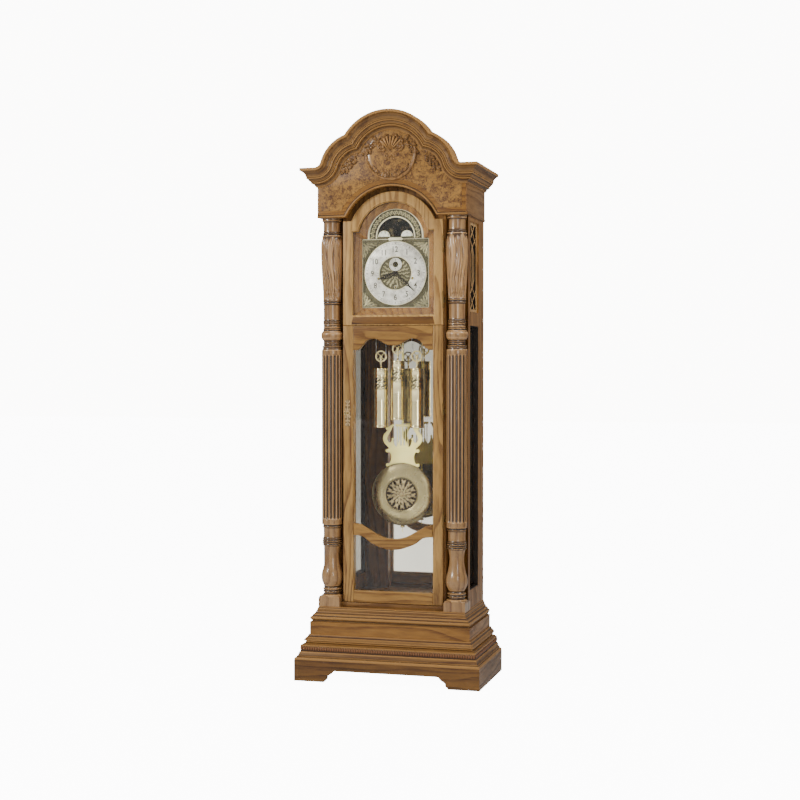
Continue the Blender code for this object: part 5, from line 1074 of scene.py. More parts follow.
def column_relief(angle, height):
    """Flutes as sunk half rounds with round ends, and two rows of long leaves on the bulb, whose furrows fan
    out from each midrib as the leaf rises. Gives what is added to the radius (always a cut), and the tone."""
    cut = np.zeros_like(angle)
    tone = np.full_like(angle, 0.62)

    count, depth, margin = 16, 0.0042, 0.012
    across = (angle / full_turn * count) % 1 - 0.5
    beyond = np.maximum(0, np.abs(height - 1.0205) - (0.3535 - margin)) / 0.0068
    away = np.hypot(across / 0.40, beyond)
    flute = np.sqrt(np.clip(1 - away**2, 0, 1))
    on_shaft = (height > 0.652) & (height < 1.3875)
    cut += np.where(on_shaft, flute * depth, 0)
    # Tone: painted shade down each flute, and a painted highlight on the edges between them.
    tone = np.where(on_shaft, np.where(beyond < 1, 1.0 - flute, 0.62), tone)

    low, high, leaves, depth = 1.6000, 1.8680, 5, 0.0056
    inside = (height > low) & (height < high)
    t = np.clip((height - low) / (high - low), 0, 1)
    best = np.full_like(angle, 0.20)
    for shift, reach, step in ((0.0, 1.0, 0.0), (0.5, 0.97, 0.14)):
        turn = angle / full_turn * leaves + shift + 0.14 * np.sin(1.1 * full_turn * t)
        u = 2 * np.abs(turn % 1 - 0.5)
        s = np.clip(t / reach, 0, 1)
        width = 1.02 * np.sqrt(1 - s**7) * (0.78 + 0.22 * np.abs(np.sin(np.pi * (3.5 * s - 0.7 * u))) ** 0.6)
        edge = np.clip((width - u) / 0.20, 0, 1) ** 0.6 * (s < 1)
        furrow = np.abs(np.cos(np.pi * (1.55 * u / (0.45 + 0.55 * s) - 0.6 * s)))
        rib = np.exp(-(u / 0.12) ** 2)
        best = np.maximum(best, edge * (0.10 + 0.80 * furrow * (1 - rib) + 0.88 * rib) - step)
    fade = np.clip(np.minimum(t, 1 - t) / 0.02, 0, 1)
    best = np.clip(best, 0, 1)
    cut = np.where(inside, (1 - best) * depth * fade, cut)
    # Tone: painted shade in the furrows and between the leaves, and a painted highlight on the ribs and
    # crests.
    tone = np.where(inside, 0.02 + 0.96 * best, tone)
    return -cut, tone


def columns():
    """The turned and carved shafts on their square blocks."""
    rows = column_rows()
    plain = 0.62
    # Tone of the turned rings: painted shade in the hollows, painted highlight on the rounds.
    grooves = hollows(rows)[:, None] - plain

    def relief(angle, height):
        """The carving, with the tone of the turned grooves added to its own."""
        added, tone = column_relief(angle, height)
        return added, np.clip(tone + grooves, 0, 1)

    shaft = turned(rows, (column_x, column_y, 0), "Z", 128, relief)
    half = 0.0462
    foot = rectangle(column_x - half, column_y - half, column_x + half, column_y + half)
    edge = [(0.0, 0.0080), (0.0015, 0.0078), (0.0022, 0.0050), (0.0034, 0.0022), (0.0056, 0.0006),
            (0.0080, 0.0)]
    block = board([foot], 0.3490, 0.3033, edge, "Z")
    pair("turned_column", joined([shaft, block]), "oak turned", "column", sharp=50)


# ---------------------------------------------------------------- doors


def arched(half, foot, shoulder, radius, steps=56):
    """A rectangle with a round arch on its shoulders, anticlockwise from its lower left corner."""
    turn = np.degrees(np.arcsin((shoulder - arch_z) / radius))
    return np.concatenate([[(-half, foot), (half, foot), (half, shoulder)],
                           arc((0, arch_z), radius, turn, 180 - turn, steps), [(-half, shoulder)]])


def knuckles(name, body, heights):
    """The door's two barrels of each hinge, with rings cut round them and tongues on the stile's edge."""
    forms, radius, ring = [], 0.003, 0.00258
    for z in heights:
        for low, high in ((z - 0.033, z - 0.0113), (z + 0.0113, z + 0.033)):
            barrel = [(0.0018, low), (radius, low), (radius, low + 0.004), (ring, low + 0.0045),
                      (radius, low + 0.005), (radius, high - 0.005), (ring, high - 0.0045),
                      (radius, high - 0.004), (radius, high), (0.0018, high)]
            forms.append(turned(barrel + barrel[:1], (hinge_x, hinge_y, 0), "Z", 20))
            forms.append(board([rectangle(0.2138, low, 0.2160, high)], -0.1112, -0.1098, 0.0002))
    piece(name, forms, "aged brass", body)


def hood_door():
    """Stiles, foot rail and arched head round the dial, with a moulded sight edge."""
    half, foot, shoulder, arch = hood_sight
    steps = [(0.0, 0.0105), (0.0003, 0.0080), (0.0016, 0.0058), (0.0036, 0.0044), (0.0040, 0.0030),
             (0.0052, 0.0014), (0.0066, 0.0004), (0.0080, 0.0)]
    edge = [placed(arched(half, foot, shoulder, arch), door_back)] + [
        placed(arched(half + by, foot - by, shoulder + by, arch + by), door_face + depth)
        for by, depth in steps]
    # Tone of each row of the sight edge: painted shadow in the step at the back and in the quirk, painted
    # highlight on the rounds.
    shade = np.array([0.10, 0.10, 0.20, 0.55, 0.85, 0.15, 0.50, 0.90, 0.62])[:, None]
    outer = arched(door_half, hood_foot, hood_shoulder, hood_arch)
    sides = [placed(outer, door_back)] + [
        placed(inset(outer, by), door_face + depth) for by, depth in soft_edge(0.0022)]
    forms = [skin(np.array(edge), round_columns=True, tone=shade), skin(np.array(sides), round_columns=True),
             cap([sides[-1], edge[-1]]), cap([sides[0], edge[0]])]
    piece("hood_door_wood", forms, "oak hood", "hood_door", ("hood_door_frame",))
    low, high = hood_foot + 0.0035, 1.5275
    rail = np.array([(-0.1815, low), (0.1815, low), (0.1740, high), (-0.1740, high)])
    piece("hood_door_rail", [board([rail], door_face - 0.0003, door_face + 0.002, 0.0003)], "oak plinth",
          "hood_door")
    knuckles("hood_door_knuckles", "hood_door", (1.59675, 1.82675))
    nodes["hood_door_glass"].visible_shadow = False


# Half edges of the shaped rails, from the stile to the middle, in shares of their width and depth
scallop = np.array([(1.0, 0.0), (0.93, -0.02), (0.888, 0.0), (0.820, 0.16), (0.758, 0.42), (0.663, 0.80),
                    (0.5, 1.0), (0.34, 0.83), (0.20, 0.54), (0.09, 0.40), (0.0, 0.37)])
swag_top = np.array([(1.0, 0.0), (0.85, 0.06), (0.697, 0.27), (0.403, 0.73), (0.18, 0.95), (0.0, 1.0)])
swag_foot = np.array([(1.0, 0.0), (0.86, 0.03), (0.726, 0.14), (0.536, 0.56), (0.277, 0.87), (0.12, 0.98),
                      (0.0, 1.0)])


def waist_door():
    """Two stiles, the scalloped head, the hanging swag rail and the foot rail, each of its own wood."""
    low, high, inner = waist_foot, waist_top, sight_half - 0.0002
    stile = rectangle(sight_half, low, door_half, high)
    head, upper, lower = (
        folded(flowing(shares * (inner, deep) + (0, z), 10)) for shares, deep, z in (
            (scallop, 0.0475, high - 0.101), (swag_top, -0.063, low + 0.334),
            (swag_foot, -0.0575, low + 0.284)))
    for part, outlines, edge, coat in (
        ("stile_right", [stile], 0.0026, "oak door"),
        ("stile_left", [stile[::-1] * (-1, 1), circle((key_x, key_z), 0.004, 24)], 0.0026, "oak door"),
        ("head", [np.concatenate([head[::-1], [(inner, high), (-inner, high)]])], 0.0026, "oak rail"),
        ("swag", [np.concatenate([upper, lower[::-1]])], 0.003, "oak rail"),
        ("foot", [rectangle(-inner, low, inner, low + 0.049)], 0.0026, "oak rail"),
    ):
        form = board(outlines, door_face, door_back, edge)
        piece(f"waist_door_{part}", [form], coat, "waist_door", ("waist_door_frame",))
    knuckles("waist_door_knuckles", "waist_door", (0.6819, 1.1319))
    nodes["waist_door_glass"].visible_shadow = False


def lock_plate():
    """The pierced plate on the stile, made of scrolls and leaves on all sides of the keyhole."""
    x, z, face, proud = key_x, key_z, -0.1103, 0.0015
    hole, share = circle((x, z), 0.0042, 24), np.linspace(-1, 1, 81)
    wide = 0.0028 + 0.0120 * np.sqrt(1 - np.abs(share)) * (0.45 + 0.55 * np.abs(np.cos(2.5 * np.pi * share)))
    plate = np.concatenate([np.stack([x + wide, z + 0.0575 * share], -1)[1:-1],
                            np.stack([x - wide, z + 0.0575 * share], -1)[-2:0:-1]])
    forms = [board([circle((x, z), 0.0098, 40), hole], face - 0.0014, face, 0.0005),
             board([plate, hole], face - 0.0005, face, 0.0002, tone=0.25)]
    for up in (1, -1):
        spine = flowing([(x, z + up * 0.008), (x, z + up * 0.030), (x, z + up * 0.058)], 12)
        widths = np.interp(np.linspace(0, 1, len(spine)), [0, 0.5, 1], [0.0022, 0.0016, 0.0006])
        forms.append(strap(spine, widths, face - 0.0014, face, 0.1))
        for side in (1, -1):
            for at, reach, thick in ((0.016, 0.0085, 0.0016), (0.034, 0.0068, 0.0014)):
                centre, start = (x + side * reach * 0.92, z + up * at), 90 + side * 70
                forms.append(scroll(centre, reach * 0.72, 1.15, start, face - 0.0002, thick, side * up))
            line = flowing([(x + side * 0.001, z + up * 0.041), (x + side * 0.0075, z + up * 0.047),
                            (x + side * 0.0055, z + up * 0.0570)], 8)
            forms.append(leaf(line, 0.0030, face - 0.0002, 0.0013, 2, back=0.0002, steps=20))
    # The relief is pressed flat, so that it stands no prouder than the solid plate
    limit = min(form[0][:, 1].min() for form in forms)
    scale = min(1.0, proud / (face - limit))
    forms = [(points * (1, scale, 1) + (0, face * (1 - scale), 0), *rest) for points, *rest in forms]
    piece("escutcheon_scrolls", forms, "old gilt", "waist_door", ("escutcheon_plate",), sharp=50)


def door_key():
    """The key: a turned shank, and a bow of round wire bent round at (-cos a, sin a) from its middle."""
    x, z, near, back, bow_radius, wire_radius = key_x, key_z, -0.1338, -0.0900, 0.0088, 0.0017
    shank = [(0, near - 0.0008), (0.0022, near - 0.0004), (0.0030, near + 0.0016), (0.0022, near + 0.0034),
             (0.0019, near + 0.012), (0.0026, near + 0.0135), (0.0019, near + 0.015), (0.0019, back),
             (0, back)]
    turn = np.linspace(0, full_turn, 48, endpoint=False)[:, None]
    out = np.stack([0 * turn, -np.cos(turn), np.sin(turn)], -1)
    wire = np.linspace(0, full_turn, 10, endpoint=False)[None, :, None]
    bow = (x, near - 0.009, z) + out * (bow_radius + wire_radius * np.cos(wire))
    bow = bow + np.array([wire_radius, 0, 0]) * np.sin(wire)
    forms = [turned(shank, (x, 0, z), "Y", 20), skin(bow, True, True)]
    piece("brass_key", forms, "polished brass", "key", ("door_key",))


# ---------------------------------------------------------------- dial


def dial_mask():
    """The board round the dial, whose opening splays from the door's sight line in to the dial."""
    near = arched(0.1760, 1.5354, 1.8829, 0.1540)
    far = np.concatenate([
        [(-window_half, window_foot), (window_half, window_foot), (window_half, window_shoulder)],
        arc((0, window_shoulder), 0.1225, 0, 180, len(near) - 5), [(-window_half, window_shoulder)]])
    edge = rectangle(-0.1817, 1.5231, 0.1817, case_top)
    front, back = -0.0877, -0.0643
    forms = [skin(np.array([placed(near, front), placed(far, back)]), round_columns=True, tone=0.5),
             skin(np.array([placed(edge, front), placed(edge, back)]), round_columns=True),
             cap([placed(edge, front), placed(near, front)]), cap([placed(edge, back), placed(far, back)])]
    # The darker oak is painted shade on the splayed opening.
    piece("dial_surround", forms, "oak in painted shade", stands_for=("dial_mask",))


def numeral(text, size, place, front, thick=0.0003):
    """A number stood up on the dial: its outline filled, made a mesh, and moved to its place."""
    curve = bpy.data.curves.new("numeral", "FONT")
    curve.body, curve.size, curve.extrude = text, size, thick / 2
    curve.align_x, curve.align_y, curve.resolution_u, curve.offset = "CENTER", "CENTER", 3, size * 0.012
    holder = bpy.data.objects.new("numeral", curve)
    bpy.context.scene.collection.objects.link(holder)
    graph = bpy.context.evaluated_depsgraph_get()
    mesh = bpy.data.meshes.new_from_object(holder.evaluated_get(graph))
    mesh.calc_loop_triangles()
    points = np.zeros(len(mesh.vertices) * 3, np.float32)
    mesh.vertices.foreach_get("co", points)
    corners = np.zeros(len(mesh.loop_triangles) * 3, np.int32)
    mesh.loop_triangles.foreach_get("vertices", corners)
    bpy.data.objects.remove(holder)
    bpy.data.meshes.remove(mesh)
    points, corners = points.reshape(-1, 3).astype(float), corners.reshape(-1, 3)
    x, y, z = (points - (points.min(axis=0) + points.max(axis=0)) / 2).T
    points = np.stack([place[0] + 0.86 * x, front - thick / 2 - z, place[1] + y], -1)
    return points, corners[:, [0, 1, 2, 2]], np.full(len(points), 0.5), np.full(len(corners), True)


def marks(count, inner, outer, width, centre_z, front, every=0, wide=1.0, thick=0.0003):
    """Radial strokes round a ring: each is a small bar between two distances from the centre."""
    forms = []
    for k in range(count):
        out, side = clockwise(full_turn * k / count)
        half = width / 2 * (wide if every and k % every == 0 else 1)
        corners = [out * inner - side * half, out * outer - side * half,
                   out * outer + side * half, out * inner + side * half]
        forms.append(board([np.array(corners) + (0, centre_z)], front - thick, front, [(0.0, 0.0)]))
    return forms


def annulus(inner, outer, centre_z, front, back, rim=0.0, x=0.0, sides=120):
    """A flat ring turned about the dial's axis, with a raised rim on both edges where one is asked for."""
    shares = [(0.0, 0.2), (0.3, -0.5), (0.8, -0.5), (1.2, 0.0), (1.3, 0.0)] if rim else [(0, 0), (0, 0)]
    lip = rim * np.array(shares)
    profile = np.concatenate([[(inner, back)], lip + (inner, front), (lip * (-1, 1) + (outer, front))[::-1],
                              [(outer, back), (inner, back)]])
    return disc(profile, centre_z, sides, x=x)


def chapter_ring():
    """The silvered hour ring with its rims, ticks and numbers, and holes for two winding arbors."""
    front, back = ring_face + 0.0004, dial_face - gap
    outline = [circle((0, dial_z), ring_outer, 144), circle((0, dial_z), ring_inner, 96)]
    outline += [circle(place, 0.0050, 24) for place in (winding[0], winding[2])]
    piece("hour_ring", [board(outline, front, back, 0.0003)], "silvered ring", stands_for=("chapter_ring",))
    rims = [annulus(ring_outer - 0.0022, ring_outer - 0.0002, dial_z, front - 0.0003, front, 0.0005),
            annulus(ring_inner + 0.0002, ring_inner + 0.0034, dial_z, front - 0.0003, front, 0.0006)]
    for x, z in (winding[0], winding[2]):
        rims.append(annulus(0.0048, 0.0066, z, front - 0.0003, front, 0.0004, x, 32))
    rims.append(annulus(0.0048, 0.0066, winding[1][1], dial_face - 0.0012, dial_face - 0.0002, 0.0004, 0, 32))
    piece("ring_rims", rims, "bright rim")
    ink = []
    for hour in range(1, 13):
        place = 0.1010 * clockwise(full_turn * hour / 12)[0] + (0, dial_z)
        ink.append(numeral(str(hour), 0.0340, place, front))
    ink += marks(60, 0.1215, 0.1285, 0.0008, dial_z, front, 5, 2.4)
    ink += marks(12, 0.0735, 0.0790, 0.0012, dial_z, front)
    ink.append(annulus(0.1286, 0.1292, dial_z, front - 0.0003, front))
    ink.append(annulus(0.1208, 0.1214, dial_z, front - 0.0003, front))
    piece("hour_numbers", ink, "ring ink")


def dial_centre():
    """The chased disc inside the hour ring: three rings of leaves on a dark ground, and the seconds ring with
    its marks and numbers.
    """
    front, seconds_face = dial_face - 0.0003, dial_face - 0.0022
    forms = []
    for count, inner, outer, width, shift in (
        (12, 0.010, 0.032, 0.0046, 0.0), (14, 0.024, 0.050, 0.0058, 0.5), (22, 0.040, 0.0668, 0.0052, 0.25),
    ):
        for k in range(count):
            way, side = clockwise(full_turn * (k + shift) / count)
            line = [way * inner, way * (inner + outer) / 2 + side * 0.0028, way * outer - side * 0.0010]
            line = np.array(line) + (0, dial_z)
            forms.append(leaf(line, width, front, 0.0011, 3, back=0.0002, steps=24))

    # Leaves under the seconds ring and the middle arbor are left out, and their neighbours are pushed clear
    openings = [(0.0, seconds_z, 0.0275), (*winding[1], 0.0065)]
    middles = [form[0].mean(axis=0) for form in forms]
    forms = [form for form, middle in zip(forms, middles)
             if all(np.hypot(middle[0] - x, middle[2] - z) > r + 0.003 for x, z, r in openings)]
    for points, *_ in forms:
        for x, z, r in openings:
            away = points[:, [0, 2]] - (x, z)
            distance = np.maximum(np.linalg.norm(away, axis=1), 1e-6)
            points[:, [0, 2]] = (x, z) + away * (np.maximum(distance, r) / distance)[:, None]
    piece("dial_centre_leaves", forms, "engraved brass", sharp=50)
    ring = annulus(0.0120, 0.0275, seconds_z, seconds_face, dial_face - 0.0004, 0.0006, sides=72)
    piece("seconds_ring", [ring], "silvered ring")
    ink = marks(60, 0.0225, 0.0255, 0.0004, seconds_z, seconds_face, 5, 1.8, 0.0002)
    for second in (60, 15, 30, 45):
        place = 0.0178 * clockwise(full_turn * second / 60)[0] + (0, seconds_z)
        ink.append(numeral(str(second), 0.0062, place, seconds_face, 0.0002))
    piece("seconds_numbers", ink, "blackened steel")


def spandrels():
    """Cast corner ornaments: leaves that fan out of each corner, with a scroll on both sides."""
    face = dial_face - 0.0002
    forms = []
    for across in (-1, 1):
        for up, corner_z in ((-1, window_foot), (1, 1.8450)):

            def at(x, z):
                """A place on the dial, from its distances in from the corner."""
                return np.array([across * (window_half - x), corner_z - up * z])

            for ends, width in (
                ([(0.003, 0.003), (0.022, 0.022), (0.042, 0.042)], 0.0080),
                ([(0.004, 0.014), (0.009, 0.040), (0.004, 0.074)], 0.0060),
                ([(0.014, 0.004), (0.040, 0.009), (0.074, 0.004)], 0.0060),
                ([(0.008, 0.018), (0.021, 0.036), (0.022, 0.056)], 0.0062),
                ([(0.018, 0.008), (0.036, 0.021), (0.056, 0.022)], 0.0062),
                ([(0.006, 0.034), (0.015, 0.052), (0.011, 0.072)], 0.0046),
                ([(0.034, 0.006), (0.052, 0.015), (0.072, 0.011)], 0.0046),
            ):
                line = flowing([at(x, z) for x, z in ends], 10)
                forms.append(leaf(line, width, face, 0.0022, 3, back=0.0001, steps=28))
            for x, z, radius, hand in ((0.0300, 0.0110, 0.0066, 1), (0.0110, 0.0300, 0.0066, -1)):
                forms.append(scroll(at(x, z), radius, 1.3, 45, face, 0.0014, hand * across * up))
            boss = [(0, 0), (0.0040, 0), (0.0034, -0.0018), (0, -0.0024)]
            x, z = at(0.0095, 0.0095)
            forms.append(turned(boss, (x, face, z), "Y", 16))
    piece("dial_spandrels", forms, "engraved brass", sharp=50)
    line = rectangle(-0.1448, 1.5675, 0.1448, 1.8560)
    rim = board([line, inset(line, 0.0016)], dial_face - 0.0010, dial_face - 0.0001, 0.0003)
    piece("dial_edge_rim", [rim], "bright rim")


def moon_arch():
    """Round the moon: a chased band between bright rims, globes on the two hills, and a small plaque."""
    face = dial_face - 0.0002

    def band(inner, outer, front, back, rows=3, relief=None):
        """A flat arch between two radii, closed at both ends, that runs a little below the moon's level."""
        turn = np.radians(np.linspace(-4, 184, 181))[None, :]
        reach = np.linspace(inner, outer, rows)[:, None]
        across, up = reach * np.cos(turn), moon_z + reach * np.sin(turn)
        rise, tone = relief(reach, turn) if relief else (0 * across, 0.6)
        top = np.stack([across, front - rise, up], -1)
        under = np.stack([across, np.full_like(across, back), up], -1)
        shade = np.concatenate([np.broadcast_to(tone, across.shape), 0 * across])
        return extruded(np.concatenate([top, under[::-1]]), shade)

    def chasing(reach, turn):
        """Running leaves: a sine winds along the band and throws a lobe to each side in turn."""
        across = (reach - 0.1005) / 0.0125
        beat = np.sin(34 * turn)
        wave = np.exp(-((across - 0.55 * beat) / 0.28) ** 2)
        lobe = np.exp(-((across + 0.45 * beat) / 0.30) ** 2) * np.abs(np.cos(51 * turn))
        rise = np.clip(wave + 0.8 * lobe, 0, 1)
        return 0.0010 * rise, np.clip(0.04 + 0.92 * rise**1.4, 0, 1)

    piece("moon_band", [band(0.0870, 0.1140, face - 0.0002, face + 0.0001, 21, chasing)], "engraved brass")
    rims = [band(inner, outer, face - 0.0012, face)
            for inner, outer in ((moon_radius + 0.0004, 0.0860), (0.1145, 0.1215))]
    piece("moon_rims", rims, "bright rim")
    turn = np.radians(np.linspace(0, 180, 61))[None, :]
    for name, coat, reach, rise in (
        ("moon_globes", "printed globe", np.linspace(0, 0.0236, 12),
         lambda r: 0.0016 * np.sqrt(np.clip(1 - (r / 0.030) ** 2, 0, 1))),
        ("globe_rims", "bright rim", np.linspace(0.0238, 0.0258, 5), lambda r: 0.0016 + 0 * r),
    ):
        reach, forms = reach[:, None], []
        for x in (-0.050, 0.050):
            across, up = x + reach * np.cos(turn), moon_z + reach * np.sin(turn)
            top = np.stack([across, face - rise(reach) + 0 * turn, up], -1)
            under = np.stack([across, np.full_like(across, face), up], -1)
            forms.append(extruded(np.concatenate([top, under[::-1]])))
        piece(name, forms, coat)
    ribbon = np.array([(-0.028, 1.8500), (0.028, 1.8500), (0.033, 1.8560), (0.024, 1.8625), (-0.024, 1.8625),
                       (-0.033, 1.8560)])
    piece("dial_plaque", [board([ribbon], face - 0.0016, face, 0.0006)], "bright rim")


def hands():
    """Serpentine hands at 8:22, each of straps that wind either side of its middle line."""
    for name, turn, length, wide, y, boss, tip in (
        ("minute", 132.0, 0.116, 0.0058, -0.0775, 0.0062, 1.0),
        ("hour", 251.0, 0.078, 0.0095, -0.0725, 0.0082, 1.5),
    ):
        way, side = clockwise(np.radians(turn))
        low, high, forms = y, y + 0.001, []

        def at(along, across):
            """Places on the dial, from shares of the hand's length and distances across it."""
            return np.multiply.outer(along, length * way) + np.multiply.outer(across, side) + (0, dial_z)

        t = np.linspace(0.05, 0.70, 64)
        swing = wide * np.sin(2.5 * full_turn * (t - 0.05) / 0.65) * (1 - 0.35 * t)
        for across, half in ((swing, 0.0015), (-swing, 0.0015), (0 * t, 0.0006)):
            forms.append(strap(at(t, across), half, low, high, 0.3))
        t = np.linspace(0.66, 1.0, 30)
        swell = tip * 0.001 * np.interp(t, [0.66, 0.74, 0.80, 0.90, 1.0], [1.2, 3.0, 2.0, 1.6, 0.8])
        forms.append(strap(at(t, 0 * t), swell, low, high, 0.3))
        bow = wide * (0.2 + 1.2 * np.sin(np.linspace(0, 2.4, 12)))
        for share in (0.31, 0.57):
            t = np.linspace(share, share + 0.10, 12)
            for hand in (1, -1):
                forms.append(strap(at(t, hand * bow), np.linspace(0.0010, 0.0003, 12), low, high, 0.3))
        forms.append(disc([(0.0027, low - 0.0005), (boss * 0.7, low - 0.0005), (boss, low), (boss, y + 0.002),
                           (0.0027, y + 0.002), (0.0027, low - 0.0005)], dial_z, 40))
        arbor = {
            "minute": [(0, -0.0780), (0.0022, -0.0778), (0.0026, -0.0770), (0.0026, 0.016), (0, 0.016)],
            "hour": [(0.0028, -0.0715), (0.0045, -0.0715), (0.0045, -0.0353), (0.0028, -0.0353),
                     (0.0028, -0.0715)],
        }[name]
        forms.append(disc(arbor, dial_z, 24))
        piece(f"{name}_hand_scrolls", forms, "blackened steel", f"{name}s", (f"{name}_hand",))
    line = np.array([(0, seconds_z - 0.0085), (0, seconds_z), (0, seconds_z + 0.0235)])
    forms = [strap(spaced(line, 24), np.linspace(0.0011, 0.0003, 24), -0.067, -0.066, 0.3),
             disc([(0, -0.0676), (0.0018, -0.0676), (0.0034, -0.0668), (0.0034, -0.0650), (0.0015, -0.0650),
                   (0.0015, 0.016), (0, 0.016)], seconds_z, 28)]
    piece("second_hand_blade", forms, "blackened steel", "seconds", ("second_hand",))


# ---------------------------------------------------------------- pendulum


def lyre_outline():
    """Right half of the lyre, foot to crotch, in shares of its size, and its mirror image."""
    shares = np.array([
        (0.30, 0.00), (0.50, 0.005), (0.64, 0.030), (0.72, 0.055), (0.72, 0.105), (0.655, 0.120),
        (0.605, 0.17), (0.580, 0.24), (0.595, 0.305), (0.650, 0.350), (0.73, 0.365), (0.73, 0.410),
        (0.675, 0.435), (0.76, 0.475), (0.915, 0.545), (0.995, 0.640), (0.955, 0.730), (0.82, 0.800),
        (0.72, 0.860), (0.62, 0.930), (0.55, 0.940), (0.52, 0.900), (0.58, 0.830), (0.70, 0.745),
        (0.775, 0.670), (0.76, 0.600), (0.67, 0.560), (0.575, 0.585), (0.505, 0.655), (0.460, 0.590),
        (0.400, 0.505), (0.310, 0.475), (0.245, 0.500), (0.180, 0.600), (0.130, 0.520), (0.075, 0.500),
        (0.0, 0.570)])
    return folded(flowing(shares * (lyre_half, lyre_height) + (0, lyre_foot), 7))


def lyre():
    """The lyre with ball ends on its scrolls, its four rods, and the rod with its eye and its thread."""
    forms = [board([lyre_outline()], pendulum_y - 0.0015, pendulum_y + 0.0015, 0.0009)]
    for x, z in ((0.765, 0.080), (0.775, 0.388), (0.775, 0.870), (0.50, 0.935), (0.50, 0.640)):
        r = 0.0078 if x > 0.6 else 0.0052
        ball = [(r * np.sin(a), -0.40 * r * np.cos(a)) for a in np.linspace(0.3, 2.84, 10)]
        ball = [(0, -r * 0.40), *ball, (0, r * 0.40)]
        centre = (x * lyre_half, pendulum_y, lyre_foot + lyre_height * z)
        forms += both_sides(turned(ball, centre, "Y", 24))
    for x in (0.012, 0.024):
        line = np.linspace((x, pendulum_y, 0.974), (x, pendulum_y, 1.067), 12)
        forms += both_sides(tube(line, 0.002, 12))
    forms.append(box(-0.031, pendulum_y - 0.0025, 1.062, 0.031, pendulum_y + 0.0025, 1.072, 0.001))
    eye = arc((0, pivot_z), 0.005, -60, 240, 16)
    rod = np.concatenate([[(-0.004, 0.637), (0.004, 0.637), (0.004, pivot_z - 0.008)], eye,
                          [(-0.004, pivot_z - 0.008)]])
    bore = circle((0, pivot_z), 0.0018, 16)
    forms.append(board([rod, bore], pendulum_y - 0.001, pendulum_y + 0.001, 0.0003))
    thread = np.linspace((0, pendulum_y, 0.645), (0, pendulum_y, 0.609), 30)
    forms.append(tube(thread, 0.0014 + 0.0001 * (np.arange(30) % 2), 12))
    piece("lyre", forms, "pale brass", "pendulum", ("pendulum_lyre",))


def bob():
    """The dished bob, and on it a rosette: three rings of leaves round a boss, inside a ring of beads."""
    profile = run(
        [(0.0, 0.0), (0.121, 0.0)], [(0.1215, 0.0), (0.131, -0.0025), (0.1345, -0.0045)],
        bulge((0.1345, -0.0045), (0.1345, -0.0068), 0.0005, 6),
        [(0.1340, -0.0070), (0.1290, -0.0105), (0.1180, -0.0150), (0.1060, -0.0178)],
        [(0.1050, -0.0172), (0.1040, -0.0180)],
        [(0.1035, -0.0182), (0.0920, -0.0196), (0.0810, -0.0203)],
        bulge((0.0805, -0.0200), (0.0735, -0.0200), -0.0014, 8),
        [(0.0720, -0.0180), (0.0700, -0.0172)], [(0.0700, -0.0172), (0.0, -0.0172)],
    ) + (0, bob_back)
    piece("bob_shell", [disc(profile, bob_z, 144)], "satin brass", "pendulum", ("pendulum_bob",))

    face = bob_back - 0.0174
    ground = disc([(0, face), (0.0698, face), (0.0698, face - 0.0006), (0, face - 0.0006)], bob_z, 96)
    forms = [(*ground[:2], 0 * ground[2], ground[3])]
    for count, inner, outer, width, shift, lobes in (
        (9, 0.005, 0.030, 0.0072, 0.0, 3), (16, 0.021, 0.048, 0.0074, 0.5, 4),
        (26, 0.042, 0.0668, 0.0066, 0.25, 3),
    ):
        for k in range(count):
            way, side = clockwise(full_turn * (k + shift) / count)
            bend = 0.004 * (-1) ** k if count == 26 else 0.002
            line = [way * inner, way * (inner + outer) / 2 + side * bend, way * outer - side * bend]
            line = flowing(line, 8) + (0, bob_z)
            forms.append(leaf(line, width, face - 0.0004, 0.0034, lobes, steps=30))
    boss = [(0, face - 0.0042), (0.0040, face - 0.0038), (0.0070, face - 0.0020), (0.0074, face), (0, face)]
    forms.append(disc(boss, bob_z, 40))
    bead = [(0, -0.0002), (0.0015, 0), (0.0012, -0.0009), (0, -0.0013)]
    for k in range(48):
        x, z = 0.0683 * clockwise(full_turn * k / 48)[0] + (0, bob_z)
        forms.append(turned(bead, (x, face - 0.0006, z), "Y", 8))
    piece("bob_rosette", forms, "chased bronze", "pendulum", sharp=50)


def rating_nut():
    """The knurled nut under the bob."""
    low, high = 0.6287, 0.6367

    def knurl(angle, height):
        """Square teeth round the nut, away from its ends."""
        toothed = (height > low + 0.001) & (height < high - 0.001)
        return 0.00025 * np.sign(np.sin(24 * angle)) * toothed, 0.6

    nut = [(0.0018, low), (0.0075, low), (0.0088, low + 0.0012), (0.0088, high - 0.0012), (0.0075, high),
           (0.0018, high), (0.0018, low)]
    piece("knurled_nut", [turned(nut, (0, pendulum_y, 0), "Z", 96, knurl)], "polished brass", "nut",
          ("rating_nut",))


# ---------------------------------------------------------------- weights and cables


